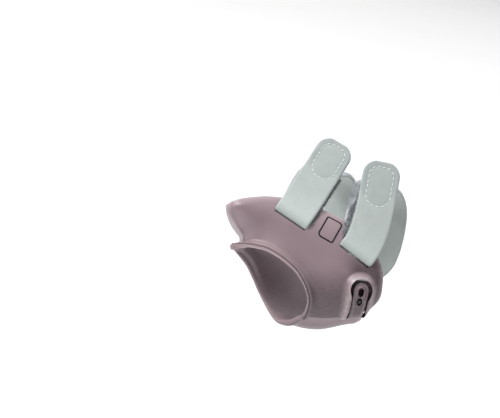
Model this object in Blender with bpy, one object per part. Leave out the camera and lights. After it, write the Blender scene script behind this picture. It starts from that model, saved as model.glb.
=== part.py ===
"""Thumb brace: a moulded shell wrapped round the base of the thumb, with two straps.

Metres, +Z up. The origin is the middle of the wrist opening.
+X runs up the forearm, -X to the fingers, -Y to the thumb side, +Z to the back of the hand.

Every piece follows one guide surface, the outline of the hand that the brace is moulded to:
an elliptic section for the hand, round cones for the thumb, and a smooth blend between them.
A "level" is a height above that surface. Tables hold lengths as shares of the sizes named in
their column notes, and angles in degrees.
"""

import math

import bmesh
import bpy
import numpy as np

# Sizes of the hand that the shell is moulded to
WRIST_BREADTH = 0.062
WRIST_THICK = 0.043
THUMB_THICK = 0.029
SHELL_LONG = 0.088

# Shell
SHELL_WALL = 0.0026
SHELL_LINING_GAP = 0.0023
TONGUE_WALL = 0.0020
TONGUE_LINING_GAP = 0.0003
EDGE_TAPER_LONG = 0.0040
EDGE_TAPER_SHARE = 0.55
FLANGE_LONG = 0.0034
FLANGE_RISE = 0.0015
WEB_CUT_ROUND = 0.0090
WEB_FLANGE_RISE = 0.0012
EDGE_BULGE = 0.00045
PALM_RIM_DROP = 0.0015
PALM_RIM_REACH = 0.0120
TONGUE_CLEARANCE = 0.0001
CUT_ABOVE = 0.0029
SLOT_CUT_BELOW = 0.0011
TAB_CUT_CLEAR = 0.0004

# Horseshoe mound with its spring tab
MOUND_RADIUS = 0.0082
MOUND_SLOPE = 0.0042
MOUND_RISE = 0.0034
TAB_RISE = 0.0024
TAB_HALF_WIDE = 0.0034
TAB_SLOT_WIDE = 0.0010
TAB_LONG = 0.0130
EYELET_LONG = 0.0076
EYELET_WIDE = 0.0026
EYELET_MIDDLE = 0.0026
EYELET_END_FLAT = 0.15

# Plain framed field between the slots
FRAME_LONG = 0.0102
FRAME_WIDE = 0.0073
FRAME_CORNER = 0.0016
FRAME_LINE_WIDE = 0.0007
FRAME_LINE_DEEP = 0.0005

# Straps
STRAP_WIDE = 0.0170
STRAP_THICK = 0.0017
STRAP_SKIN_GAP = 0.0002
STRAP_SHELL_GAP = 0.00035
STRAP_CORNER = 0.0065
SLOT_SIDE_GAP = 0.0005
HAND_LEG_LONG = 0.0418
WRIST_LEG_LONG = 0.0420
HAND_LEG_LEAN = -3.0
WRIST_LEG_LEAN = -27.0

# Hook patches
HOOK_THICK = 0.0011
HOOK_WIDE = 0.0125
HOOK_LONG = 0.0190
HOOK_END_MARGIN = 0.0022
HOOK_END_FLAT = 0.1

# Closure peg
PEG_RADIUS = 0.00095
PEG_FOOT_RADIUS = 0.0022
PEG_FOOT_THICK = 0.0008
PEG_PLACE = 0.0049
PEG_CHAMFER = 0.0003
PEG_TIP_SHARE = 0.7

PIECE_GAP = 0.0003

HALF_BREADTH = WRIST_BREADTH/2
HALF_THICK = WRIST_THICK/2
THUMB_RADIUS = THUMB_THICK/2

# Hand section: along (share of SHELL_LONG), mid_up (HALF_THICK), half_breadth (HALF_BREADTH),
# half_thick (HALF_THICK)
HAND_SECTIONS = np.array([
    (-1.14, 0.56, 1.32, 0.58),
    (-0.85, 0.46, 1.34, 0.70),
    (-0.51, 0.28, 1.22, 0.86),
    (-0.23, 0.14, 1.06, 0.98),
    (0.00, 0.09, 1.00, 1.00),
    (0.34, 0.00, 1.00, 1.00),
    (0.68, -0.09, 1.06, 1.07),
])

# Thumb: along (SHELL_LONG), across (HALF_BREADTH), up (HALF_THICK), radius (THUMB_RADIUS)
THUMB_SECTIONS = np.array([
    (-0.03, -0.65, -0.65, 0.86),
    (-0.28, -0.97, -0.86, 0.98),
    (-0.56, -1.32, -0.96, 0.92),
    (-0.91, -1.77, -1.16, 0.72),
    (-1.19, -2.13, -1.30, 0.69),
])

# Blend between hand and thumb: along (SHELL_LONG), reach (THUMB_RADIUS)
BLEND_REACH = np.array([
    (-1.02, 0.34),
    (-0.85, 0.41),
    (-0.70, 0.69),
    (-0.51, 1.38),
    (-0.23, 1.66),
    (0.45, 1.66),
])
THUMB_JOINT_BLEND = 0.28

# The web side of the hand is cut by a plane: a point on it as shares, and the way it faces
WEB_CUT_POINT = (-0.815, -1.48, 0.614)
WEB_CUT_FACING = (-0.716, -0.436, -0.545)

# Longest ray from the hand's middle line
RAY_SHARE = 2.6

# Shell strip, from the lower end of the wing on the back of the hand, over the web and through
# the palm, to the tongue that slides under the first wing. rim is the thumb hole's side, edge the
# outer side; along (share of SHELL_LONG), across (HALF_BREADTH), up (HALF_THICK). over is 1 where
# the wing lies over the tongue, tuck is 1 on the tongue.
SHELL_STRIP = np.array([
    # rim_along, rim_across, rim_up, edge_along, edge_across, edge_up, over, tuck
    (-0.324, -1.67, -1.28, -0.012, -1.25, -1.03, 1.0, 0.0),
    (-0.302, -1.70, -1.08, 0.014, -1.27, -0.86, 1.0, 0.0),
    (-0.299, -1.72, -0.78, 0.046, -1.28, -0.57, 1.0, 0.0),
    (-0.319, -1.71, -0.58, 0.043, -1.29, -0.24, 1.0, 0.0),
    (-0.350, -1.70, -0.40, 0.018, -1.26, 0.11, 0.8, 0.0),
    (-0.398, -1.68, -0.21, -0.061, -1.16, 0.49, 0.0, 0.0),
    (-0.457, -1.67, -0.08, -0.175, -1.05, 0.74, 0.0, 0.0),
    (-0.515, -1.65, 0.00, -0.313, -1.00, 0.88, 0.0, 0.0),
    (-0.569, -1.62, 0.03, -0.476, -1.02, 0.97, 0.0, 0.0),
    (-0.622, -1.59, 0.01, -0.616, -1.12, 0.96, 0.0, 0.0),
    (-0.675, -1.53, -0.06, -0.718, -1.26, 0.89, 0.0, 0.0),
    (-0.716, -1.48, -0.16, -0.800, -1.37, 0.75, 0.0, 0.0),
    (-0.750, -1.47, -0.23, -0.842, -1.40, 0.59, 0.0, 0.0),
    (-0.750, -1.32, -0.37, -0.850, -1.16, 0.42, 0.0, 0.0),
    (-0.727, -1.10, -0.60, -0.807, -0.87, 0.00, 0.0, 0.0),
    (-0.682, -0.87, -0.88, -0.682, -0.48, -0.51, 0.0, 0.0),
    (-0.640, -0.80, -1.16, -0.511, -0.19, -0.74, 0.0, 0.0),
    (-0.580, -0.90, -1.40, -0.318, -0.10, -0.93, 0.0, 0.0),
    (-0.512, -1.08, -1.54, -0.148, -0.19, -1.12, 0.0, 0.0),
    (-0.440, -1.30, -1.62, -0.052, -0.52, -1.26, 0.0, 0.0),
    (-0.370, -1.46, -1.60, -0.030, -0.87, -1.27, 0.0, 0.35),
    (-0.310, -1.55, -1.44, -0.014, -1.12, -1.15, 0.0, 1.0),
    (-0.216, -1.52, -1.02, 0.010, -1.26, -0.90, 0.0, 1.0),
    (-0.150, -1.48, -0.60, 0.016, -1.32, -0.56, 0.0, 1.0),
    (-0.130, -1.48, -0.23, 0.010, -1.35, -0.23, 0.0, 1.0),
])
STRIP_WEB_ROW = 11.5
STRIP_MOUND_ROW = 7.0
STRIP_TONGUE_ROW = 23.3
WEB_FLANGE_ROWS = 1.6
PALM_RIM_ROW = 18.0
PALM_RIM_ROWS = 2.2
MOUND_END_ROWS = 1.2
MOUND_END_SHARE = 0.45
FLANGE_FLAT_SHARE = 0.55
FLANGE_FALL_SHARE = 0.60
TONGUE_END_NARROW = 0.42
TONGUE_END_ROUND = 0.97
END_TAPER_ROW_LONG = 0.0060
END_TAPER_START = 0.0006

# Middle line of the mound, from the round top's centre down to the wing's lower end:
# along (SHELL_LONG), across (HALF_BREADTH), up (HALF_THICK)
MOUND_LINE = np.array([
    (-0.063, -1.42, -0.38),
    (-0.060, -1.43, -0.68),
    (-0.064, -1.39, -0.94),
    (-0.069, -1.32, -1.19),
    (-0.074, -1.20, -1.38),
])
MOUND_LINE_SPAN = 0.0340
MOUND_LINE_STEPS = 90

# Places on the wing: along (SHELL_LONG), turn about the hand (degrees from the thumb side
# towards the back of the hand), slant (degrees that the place's own across line drops)
HAND_SLOT = (-0.480, 15.5, 17.0)
WRIST_SLOT = (-0.117, 7.8, 22.0)
FRAME_PLACE = (-0.284, 14.5, 13.0)

# Strap routes from the sewn end in the palm round to the slot: along (SHELL_LONG), turn
# (degrees), on_shell (1 on the palm wing, 0 on the skin)
HAND_STRAP_ROUTE = np.array([
    (-0.40, 301.0, 1.0),
    (-0.38, 291.0, 1.0),
    (-0.36, 281.0, 1.0),
    (-0.34, 270.0, 0.75),
    (-0.31, 255.0, 0.0),
    (-0.28, 220.0, 0.0),
    (-0.31, 180.0, 0.0),
    (-0.38, 130.0, 0.0),
    (-0.44, 90.0, 0.0),
    (-0.455, 60.0, 0.0),
    (-0.465, 30.0, 0.0),
])
WRIST_STRAP_ROUTE = np.array([
    (-0.19, 297.0, 1.0),
    (-0.17, 288.0, 1.0),
    (-0.15, 279.0, 1.0),
    (-0.12, 268.0, 0.75),
    (-0.08, 252.0, 0.0),
    (-0.01, 220.0, 0.0),
    (-0.01, 180.0, 0.0),
    (-0.09, 135.0, 0.0),
    (-0.140, 90.0, 0.0),
    (-0.145, 50.0, 0.0),
    (-0.133, 24.0, 0.0),
])

# Mesh density
STRIP_STEPS = ((0, 5, 5), (5, 11, 2), (11, 14, 3), (14, 22, 2), (22, 24, 3))
STRIP_RIM_STEPS = (0.0, 0.0012, 0.0024, 0.0036, 0.0050)
STRIP_EDGE_STEPS = (0.0042, 0.0020, 0.0)
STRIP_MIDDLE_STEPS = 18
STRIP_MIDDLE_CROWD = 0.075
STRAP_STEP = 0.0070
STRAP_ACROSS_STEPS = 4
LOOP_STEPS = 6
ROUND_STEPS = 16

SIZES = np.array([SHELL_LONG, HALF_BREADTH, HALF_THICK])
OVER_LINING_GAP = TONGUE_LINING_GAP + TONGUE_WALL + PIECE_GAP + TONGUE_CLEARANCE
SHELL_TOP = SHELL_LINING_GAP + SHELL_WALL
STRAP_SKIN_LEVEL = STRAP_SKIN_GAP + STRAP_THICK/2
STRAP_SHELL_LEVEL = SHELL_TOP + STRAP_SHELL_GAP + STRAP_THICK/2
LOOP_LEVEL = (STRAP_SKIN_LEVEL + STRAP_SHELL_LEVEL)/2
LOOP_RADIUS = (STRAP_SHELL_LEVEL - STRAP_SKIN_LEVEL)/2
SLOT_WIDE = LOOP_RADIUS + STRAP_THICK/2 + PIECE_GAP
SLOT_LONG = STRAP_WIDE + 2*SLOT_SIDE_GAP
TAB_CUT_LOW = OVER_LINING_GAP + TAB_CUT_CLEAR
TAB_CUT_HIGH = OVER_LINING_GAP + MOUND_RISE + SHELL_WALL + CUT_ABOVE


# Guide surface

def spline_at(table, where):
    """Smooth values of a table's later columns at places in its first column."""
    places, values = table[:, 0], table[:, 1:]
    slopes = np.gradient(values, places, axis=0)
    where = np.clip(where, places[0], places[-1])
    i = np.clip(np.searchsorted(places, where, side="right") - 1, 0, len(places) - 2)
    gap = places[i + 1] - places[i]
    t = ((where - places[i])/gap)[..., None]
    gap = gap[..., None]
    start = (2*t**3 - 3*t**2 + 1)*values[i] + (t**3 - 2*t**2 + t)*gap*slopes[i]
    end = (3*t**2 - 2*t**3)*values[i + 1] + (t**3 - t**2)*gap*slopes[i + 1]
    return start + end


def by_row(table, rows):
    """Smooth values of all columns at fractional row numbers."""
    numbered = np.column_stack([np.arange(len(table)), table])
    return spline_at(numbered, np.asarray(rows, float))


def smooth_step(x):
    x = np.clip(x, 0.0, 1.0)
    return x*x*(3 - 2*x)


def blended_min(a, b, reach):
    """The lesser of a and b, rounded where they are within reach of each other."""
    near = np.maximum(reach - np.abs(a - b), 0)/reach
    return np.minimum(a, b) - near*near*reach/4


def hand_height(p):
    """Height above the hand's elliptic section at p's own place along the arm."""
    mid_up, breadth, thick = np.moveaxis(spline_at(HAND_SECTIONS, p[..., 0]/SHELL_LONG), -1, 0)
    across = p[..., 1]/(breadth*HALF_BREADTH)
    up = (p[..., 2] - mid_up*HALF_THICK)/(thick*HALF_THICK)
    ratio = np.sqrt(across**2 + up**2)
    slope = np.sqrt((across/(breadth*HALF_BREADTH))**2 + (up/(thick*HALF_THICK))**2) + 1e-9
    return ratio*(ratio - 1)/slope


def thumb_height(p):
    """Height above the chain of round cones that stands for the thumb."""
    points = THUMB_SECTIONS[:, :3]*SIZES
    radii = THUMB_SECTIONS[:, 3]*THUMB_RADIUS
    height = None
    for a, b, radius_a, radius_b in zip(points[:-1], points[1:], radii[:-1], radii[1:]):
        bone = b - a
        share = np.clip((p - a) @ bone/(bone @ bone), 0, 1)
        here = np.linalg.norm(p - a - share[..., None]*bone, axis=-1)
        here = here - radius_a - share*(radius_b - radius_a)
        if height is None:
            height = here
        else:
            height = blended_min(height, here, THUMB_JOINT_BLEND*THUMB_RADIUS)
    return height


def guide_height(p):
    """Height of p above the hand and thumb together."""
    facing = np.array(WEB_CUT_FACING)
    facing = facing/np.linalg.norm(facing)
    web_cut = (p - np.array(WEB_CUT_POINT)*SIZES) @ facing + SHELL_TOP
    hand = -blended_min(-hand_height(p), -web_cut, WEB_CUT_ROUND)
    reach = spline_at(BLEND_REACH, p[..., 0]/SHELL_LONG)[..., 0]*THUMB_RADIUS
    return blended_min(hand, thumb_height(p), reach)


def guide_normal(p):
    """Outward unit normal of the guide surface's level through p."""
    step = 0.00005
    slopes = [guide_height(p + step*axis) - guide_height(p - step*axis) for axis in np.eye(3)]
    normal = np.stack(slopes, -1)
    return normal/np.linalg.norm(normal, axis=-1, keepdims=True)


def press(p, level):
    """Move p along the guide's normals to the given level."""
    for _ in range(8):
        p = p + (level - guide_height(p))[..., None]*guide_normal(p)
    return p


def unit(v):
    return v/np.linalg.norm(v, axis=-1, keepdims=True)


def round_hand(along, turn, level):
    """Point at a level, at a turn about the hand's middle line at a place along it."""
    along = np.atleast_1d(along)
    turn = np.radians(np.atleast_1d(turn))
    middle_up = spline_at(HAND_SECTIONS, along)[..., 0]*HALF_THICK
    start = np.stack([along*SHELL_LONG, np.zeros_like(along), middle_up], -1)
    ray = np.stack([np.zeros_like(turn), -np.cos(turn), np.sin(turn)], -1)
    near = np.zeros_like(turn)
    far = np.full_like(turn, RAY_SHARE*HALF_BREADTH)
    for _ in range(30):
        middle = (near + far)/2
        inside = guide_height(start + middle[:, None]*ray) < level
        near = np.where(inside, middle, near)
        far = np.where(inside, far, middle)
    return start + ((near + far)/2)[:, None]*ray


# Meshes

def make_object(name, points, faces, material):
    """One closed object from points and faces, with its faces turned outward."""
    mesh = bpy.data.meshes.new(name)
    mesh.from_pydata([tuple(p) for p in points], [], faces)
    shape = bmesh.new()
    shape.from_mesh(mesh)
    bmesh.ops.recalc_face_normals(shape, faces=shape.faces)
    if shape.calc_volume(signed=True) < 0:
        bmesh.ops.reverse_faces(shape, faces=shape.faces)
    shape.to_mesh(mesh)
    shape.free()
    thing = bpy.data.objects.new(name, mesh)
    bpy.context.scene.collection.objects.link(thing)
    if material is not None:
        mesh.materials.append(material)
    mesh.shade_smooth()
    mesh.set_sharp_from_angle(angle=math.radians(40))
    return thing


def sweep_faces(rows, loop, closed):
    """Quads between rows of a loop of points, with both ends left open unless closed."""
    faces = []
    for i in range(rows if closed else rows - 1):
        for j in range(loop):
            a, b = i*loop, ((i + 1) % rows)*loop
            k = (j + 1) % loop
            faces.append((a + j, a + k, b + k, b + j))
    return faces


def sheet_solid(name, top, under, material, bulge=0.0):
    """Closed solid between two grids of points, with blunt or bulging long sides."""
    rows, across = top.shape[:2]
    first = (top[:, :1] + under[:, :1])/2 + bulge*unit(top[:, :1] - top[:, 1:2])
    last = (top[:, -1:] + under[:, -1:])/2 + bulge*unit(top[:, -1:] - top[:, -2:-1])
    loops = np.concatenate([top, last, under[:, ::-1], first], axis=1)
    loop = loops.shape[1]
    faces = sweep_faces(rows, loop, False)
    for base in (0, (rows - 1)*loop):
        for j in range(across - 1):
            far = 2*across - j
            faces.append((base + j, base + j + 1, base + far - 1, base + far))
        faces.append((base + across - 1, base + across, base + across + 1))
        faces.append((base, base + 2*across, base + 2*across + 1))
    return make_object(name, loops.reshape(-1, 3), faces, material)


def bar_cutter(name, left, right, low, high, closed=False):
    """Cutter between two lines on the guide surface, from one level to another."""
    corners = [press(left, low), press(left, high), press(right, high), press(right, low)]
    loops = np.stack(corners, axis=1)
    rows = len(loops)
    faces = sweep_faces(rows, 4, closed)
    if not closed:
        faces += [(0, 1, 2, 3), tuple((rows - 1)*4 + k for k in range(4))]
    cutter = make_object(name, loops.reshape(-1, 3), faces, None)
    cutter.hide_render = True
    cutter.display_type = "WIRE"
    return cutter


def cut(thing, cutter):
    modifier = thing.modifiers.new(cutter.name, "BOOLEAN")
    modifier.operation = "DIFFERENCE"
    modifier.solver = "EXACT"
    modifier.object = cutter


# Shell

def strip_rows():
    """Row numbers of the strip's mesh, closer where the mound is."""
    rows = [np.linspace(a, b, (b - a)*n, endpoint=False) for a, b, n in STRIP_STEPS]
    return np.append(np.concatenate(rows), STRIP_STEPS[-1][1])


def strip_grid(rows, rim_steps, edge_steps, middle_steps):
    """Base points of the shell's strip, rim to edge in each row, and each one's distance
    from the rim and from the edge."""
    values = by_row(SHELL_STRIP, rows)
    rim = values[:, :3]*SIZES
    edge = values[:, 3:6]*SIZES
    end = (rows - STRIP_TONGUE_ROW)/(len(SHELL_STRIP) - 1 - STRIP_TONGUE_ROW)
    narrow = TONGUE_END_NARROW*(1 - np.sqrt(1 - TONGUE_END_ROUND*np.clip(end, 0, 1)**2))
    middle = (rim + edge)/2
    rim = rim + narrow[:, None]*(middle - rim)
    edge = edge + narrow[:, None]*(middle - edge)
    wide = np.linalg.norm(edge - rim, axis=1)[:, None]
    from_rim = np.array(rim_steps)[None]/wide
    from_edge = 1 - np.array(edge_steps)[None]/wide
    between = np.linspace(0, 1, middle_steps + 2)[None, 1:-1]
    between = between + STRIP_MIDDLE_CROWD*np.sin(2*math.pi*between)
    between = from_rim[:, -1:] + between*(from_edge[:, :1] - from_rim[:, -1:])
    share = np.concatenate([from_rim, between, from_edge], axis=1)
    points = rim[:, None] + share[..., None]*(edge - rim)[:, None]
    points = press(points, SHELL_TOP)
    steps = np.linalg.norm(np.diff(points, axis=1), axis=2)
    to_rim = np.concatenate([np.zeros((len(rows), 1)), np.cumsum(steps, axis=1)], axis=1)
    to_edge = to_rim[:, -1:] - to_rim
    return points, to_rim, to_edge, values[:, 6:7], values[:, 7:8]


def mound_line(place):
    """Point on the mound's middle line, a distance below the centre of its round top."""
    fine = press(by_row(MOUND_LINE, np.linspace(0, len(MOUND_LINE) - 1, 60))*SIZES, SHELL_TOP)
    steps = np.linalg.norm(np.diff(fine, axis=0), axis=1)
    run = np.append(0.0, np.cumsum(steps))
    place = np.atleast_1d(place)
    on_line = np.stack([np.interp(place, run, fine[:, k]) for k in range(3)], -1)
    beyond = np.minimum(place, 0)[:, None]*unit(fine[3] - fine[0])
    return on_line + beyond


def mound_point(place, aside):
    """Point on the guide beside the mound's middle line."""
    step = 0.0004
    middle = mound_line(place)
    down = unit(mound_line(np.asarray(place) + step) - mound_line(np.asarray(place) - step))
    side = unit(np.cross(down, guide_normal(middle)))
    return press(middle + np.atleast_1d(aside)[:, None]*side, SHELL_TOP)


def mound_rise(points):
    """Rise of the horseshoe mound, less where its spring tab lies."""
    line = mound_line(np.linspace(0, MOUND_LINE_SPAN, MOUND_LINE_STEPS))
    far = np.full(points.shape[:-1], 1.0)
    for p in line:
        far = np.minimum(far, np.linalg.norm(points - p, axis=-1))
    mound = MOUND_RISE*smooth_step((MOUND_RADIUS - far)/MOUND_SLOPE)
    tab = smooth_step((TAB_HALF_WIDE + TAB_SLOT_WIDE - far)/TAB_SLOT_WIDE)
    return mound - tab*(MOUND_RISE - TAB_RISE)


def shell_levels(points, rows, to_rim, to_edge, over, tuck):
    """Levels of the shell's inner and outer faces at the strip's base points."""
    lining = SHELL_LINING_GAP + over*(OVER_LINING_GAP - SHELL_LINING_GAP)
    lining = lining + tuck*(TONGUE_LINING_GAP - lining)
    wall = SHELL_WALL + tuck*(TONGUE_WALL - SHELL_WALL)
    wing = smooth_step((STRIP_MOUND_ROW + 1 - rows)/1.0)[:, None]
    at_web = np.exp(-((rows - STRIP_WEB_ROW)/WEB_FLANGE_ROWS)**2)[:, None]
    flange = 1 - smooth_step((to_rim/FLANGE_LONG - FLANGE_FLAT_SHARE)/FLANGE_FALL_SHARE)
    in_palm = np.exp(-((rows - PALM_RIM_ROW)/PALM_RIM_ROWS)**2)[:, None]
    flange = flange*(FLANGE_RISE + at_web*WEB_FLANGE_RISE)*(1 - tuck)*(1 - in_palm)
    flange = flange - in_palm*PALM_RIM_DROP*(1 - smooth_step(to_rim/PALM_RIM_REACH))
    fade = MOUND_END_SHARE + (1 - MOUND_END_SHARE)*smooth_step(rows/MOUND_END_ROWS)[:, None]
    inner = lining + wing*fade*mound_rise(points) + flange
    ends = np.minimum(rows - rows[0], rows[-1] - rows)[:, None]*END_TAPER_ROW_LONG
    ends = ends + END_TAPER_START
    taper = smooth_step(np.minimum(to_edge, ends)/EDGE_TAPER_LONG)
    return inner, inner + wall*(EDGE_TAPER_SHARE + (1 - EDGE_TAPER_SHARE)*taper)


def place_on_wing(place):
    """A place's origin on the guide, and its across, upward and outward directions."""
    along, turn, slant = place
    origin = round_hand(along, turn, SHELL_TOP)[0]
    out = guide_normal(origin)
    level = unit(np.array([1.0, 0, 0]) - out*out[0])
    upward = np.cross(out, level)
    slant = math.radians(slant)
    across = math.cos(slant)*level - math.sin(slant)*upward
    return origin, across, np.cross(out, across), out


def slot_cutter(name, place):
    """Cutter for a strap slot, whose upper side is the bar that the strap folds round."""
    origin, across, upward, _ = place_on_wing(place)
    half = SLOT_LONG/2
    run = np.linspace(-half, half, 7)[:, None]*across
    low, high = SHELL_LINING_GAP - SLOT_CUT_BELOW, SHELL_TOP + CUT_ABOVE
    return bar_cutter(name, origin + run, origin + run - SLOT_WIDE*upward, low, high)


def tab_slot_cutter():
    """Cutter for the upside-down U round the spring tab."""
    radius = TAB_HALF_WIDE + TAB_SLOT_WIDE/2
    leg = np.linspace(TAB_LONG, 0, 8)[:-1]
    bend = np.linspace(0, math.pi, 11)
    place = np.concatenate([leg, -radius*np.sin(bend), leg[::-1]])
    side = np.concatenate([-np.ones_like(leg), -np.cos(bend), np.ones_like(leg)])
    straight = np.concatenate([leg, np.zeros_like(bend), leg[::-1]])
    near, far = TAB_HALF_WIDE, TAB_HALF_WIDE + TAB_SLOT_WIDE
    sides = []
    for reach in (near, far):
        down = np.where(straight > 0, place, place*reach/radius)
        sides.append(mound_point(down, side*reach))
    return bar_cutter("tab_slot_cutter", sides[0], sides[1], TAB_CUT_LOW, TAB_CUT_HIGH)


def eyelet_cutter():
    """Cutter for the long eyelet in the spring tab."""
    half = EYELET_WIDE/2
    straight = EYELET_LONG/2 - half
    turn = np.linspace(-math.pi/2, math.pi/2, 9)
    place = np.concatenate([-straight + half*np.sin(turn[:5]), straight + half*np.sin(turn[4:])])
    wide = half*np.concatenate([np.cos(turn[:5]), np.cos(turn[4:])])
    wide = np.maximum(wide, EYELET_END_FLAT*half)
    left = mound_point(EYELET_MIDDLE + place, -wide)
    right = mound_point(EYELET_MIDDLE + place, wide)
    return bar_cutter("eyelet_cutter", left, right, TAB_CUT_LOW, TAB_CUT_HIGH)


def frame_cutter():
    """Cutter for the shallow framing line between the slots."""
    origin, across, upward, _ = place_on_wing(FRAME_PLACE)
    sides = []
    for grow in (-FRAME_LINE_WIDE/2, FRAME_LINE_WIDE/2):
        corner = FRAME_CORNER + grow
        outline = []
        for quarter in range(4):
            turn = math.radians(90*quarter) + np.linspace(0, math.pi/2, 4)
            x_sign = 1 if quarter in (0, 3) else -1
            y_sign = 1 if quarter in (0, 1) else -1
            x = x_sign*(FRAME_WIDE/2 - FRAME_CORNER) + corner*np.cos(turn)
            y = y_sign*(FRAME_LONG/2 - FRAME_CORNER) + corner*np.sin(turn)
            outline.append(np.stack([x, y], -1))
        outline = np.concatenate(outline)
        points = origin + outline[:, :1]*across + outline[:, 1:]*upward
        sides.append(press(points, SHELL_TOP))
    low, high = SHELL_TOP - FRAME_LINE_DEEP, SHELL_TOP + CUT_ABOVE/3
    return bar_cutter("frame_cutter", sides[0], sides[1], low, high, closed=True)


def make_shell(material):
    """The moulded shell with its slots, eyelet and framing line."""
    rows = strip_rows()
    grid = strip_grid(rows, STRIP_RIM_STEPS, STRIP_EDGE_STEPS, STRIP_MIDDLE_STEPS)
    points, to_rim, to_edge, over, tuck = grid
    inner, outer = shell_levels(points, rows, to_rim, to_edge, over, tuck)
    normal = guide_normal(points)
    under = points + (inner - SHELL_TOP)[..., None]*normal
    top = points + (outer - SHELL_TOP)[..., None]*normal
    shell = sheet_solid("shell", top, under, material, bulge=EDGE_BULGE)
    cut(shell, slot_cutter("hand_slot_cutter", HAND_SLOT))
    cut(shell, slot_cutter("wrist_slot_cutter", WRIST_SLOT))
    cut(shell, frame_cutter())
    cut(shell, tab_slot_cutter())
    cut(shell, eyelet_cutter())


# Straps

def leg_turn(share, leg_lean):
    """Turn of a standing leg in its own plane, most of it near the fold: lean*(1 - (1 - s)^4)."""
    return math.radians(leg_lean)*(1 - (1 - share)**4)


def strap_rows(route, place, leg_long, leg_lean):
    """Middle points and normals of a strap, in rows across it from the sewn end to the tip."""
    rows_wanted = np.linspace(0, len(route) - 1, 200)
    fine = by_row(route, rows_wanted)
    level = STRAP_SKIN_LEVEL + np.clip(fine[:, 2], 0, 1)*(STRAP_SHELL_LEVEL - STRAP_SKIN_LEVEL)
    line = round_hand(fine[:, 0], fine[:, 1], level)
    run = np.append(0.0, np.cumsum(np.linalg.norm(np.diff(line, axis=0), axis=1)))
    count = int(run[-1]/STRAP_STEP) + 1
    wanted = np.linspace(0, run[-1], count)
    line = np.stack([np.interp(wanted, run, line[:, k]) for k in range(3)], -1)
    level = np.interp(wanted, run, level)
    side_share = np.linspace(-1, 1, STRAP_ACROSS_STEPS + 1)
    half = STRAP_WIDE/2
    way = unit(np.gradient(line, axis=0))
    side = unit(np.cross(guide_normal(line), way))
    around = line[:, None] + side_share[None, :, None]*half*side[:, None]
    around = press(around, level[:, None])
    normal = guide_normal(around)

    origin, across, upward, out = place_on_wing(place)
    if (side[-1] @ across) < 0:
        around = around[:, ::-1]
        normal = normal[:, ::-1]
    bar = press(origin + side_share[:, None]*half*across, LOOP_LEVEL)
    bar_out = guide_normal(bar)
    bar_up = unit(upward - (bar_out @ upward)[:, None]*bar_out)
    loop, loop_normal = [], []
    for turn in np.linspace(0, math.pi, LOOP_STEPS + 1):
        spoke = -math.sin(turn)*bar_up - math.cos(turn)*bar_out
        loop.append(bar + LOOP_RADIUS*spoke)
        loop_normal.append(-spoke)

    leg, leg_normal = [], []
    start = loop[-1]
    middle = start[len(start)//2]
    sag = start - middle - side_share[:, None]*half*across
    steps = int(leg_long/STRAP_STEP) + 1
    corner = leg_long - STRAP_CORNER
    reach = np.append(np.linspace(0, corner, steps + 1)[1:], corner + STRAP_CORNER*np.sin(
        np.linspace(0, 0.5*math.pi, 6)[1:]))
    centre = middle
    before = 0.0
    for place_now in reach:
        lean = leg_turn((place_now + before)/2/leg_long, leg_lean)
        forward = math.cos(lean)*upward + math.sin(lean)*across
        centre = centre + (place_now - before)*forward
        before = place_now
        lean = leg_turn(place_now/leg_long, leg_lean)
        aside = math.cos(lean)*across - math.sin(lean)*upward
        past = max(place_now - corner, 0.0)
        narrow = half - STRAP_CORNER + math.sqrt(max(STRAP_CORNER**2 - past**2, 0.0))
        leg.append(centre + side_share[:, None]*narrow*aside + sag*(1 - place_now/leg_long))
        leg_normal.append(np.broadcast_to(-out, leg[-1].shape))

    rows = np.concatenate([around, loop, leg])
    normals = np.concatenate([normal, loop_normal, leg_normal])
    return rows, normals


def make_strap(name, route, place, leg_long, leg_lean, material):
    """A strap sewn to the palm wing, round the hand, through its slot and folded back."""
    rows, normals = strap_rows(route, place, leg_long, leg_lean)
    half = normals*STRAP_THICK/2
    return sheet_solid(name, rows + half, rows - half, material)


def make_hook(name, place, leg_long, leg_lean, material):
    """Hook patch on the skin side of a strap's free end."""
    origin, across, upward, out = place_on_wing(place)
    top_level = origin + (STRAP_SHELL_LEVEL - SHELL_TOP)*out
    half = HOOK_WIDE/2
    turn = np.linspace(-math.pi/2, math.pi/2, 9)
    straight = HOOK_LONG/2 - half
    middle = leg_long - HOOK_END_MARGIN - HOOK_LONG/2
    lower, upper = turn[:5], turn[4:]
    rise = np.concatenate([half*np.sin(lower) - straight, half*np.sin(upper) + straight])
    place_now = middle + rise
    wide = half*np.concatenate([np.cos(lower), np.cos(upper)])
    wide = np.maximum(wide, HOOK_END_FLAT*half)
    fine = np.linspace(0, leg_long, 200)
    lean = leg_turn(fine/leg_long, leg_lean)
    forward = np.cos(lean)[:, None]*upward + np.sin(lean)[:, None]*across
    line = top_level + np.cumsum(forward, axis=0)*(fine[1] - fine[0])
    centre = np.stack([np.interp(place_now, fine, line[:, k]) for k in range(3)], -1)
    lean = leg_turn(place_now/leg_long, leg_lean)
    aside = np.cos(lean)[:, None]*across - np.sin(lean)[:, None]*upward
    shares = np.linspace(-1, 1, 5)
    rows = centre[:, None] + shares[None, :, None]*wide[:, None, None]*aside[:, None]
    top = rows - (STRAP_THICK/2 + PIECE_GAP)*out
    return sheet_solid(name, top, top - HOOK_THICK*out, material)


# Peg

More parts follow.
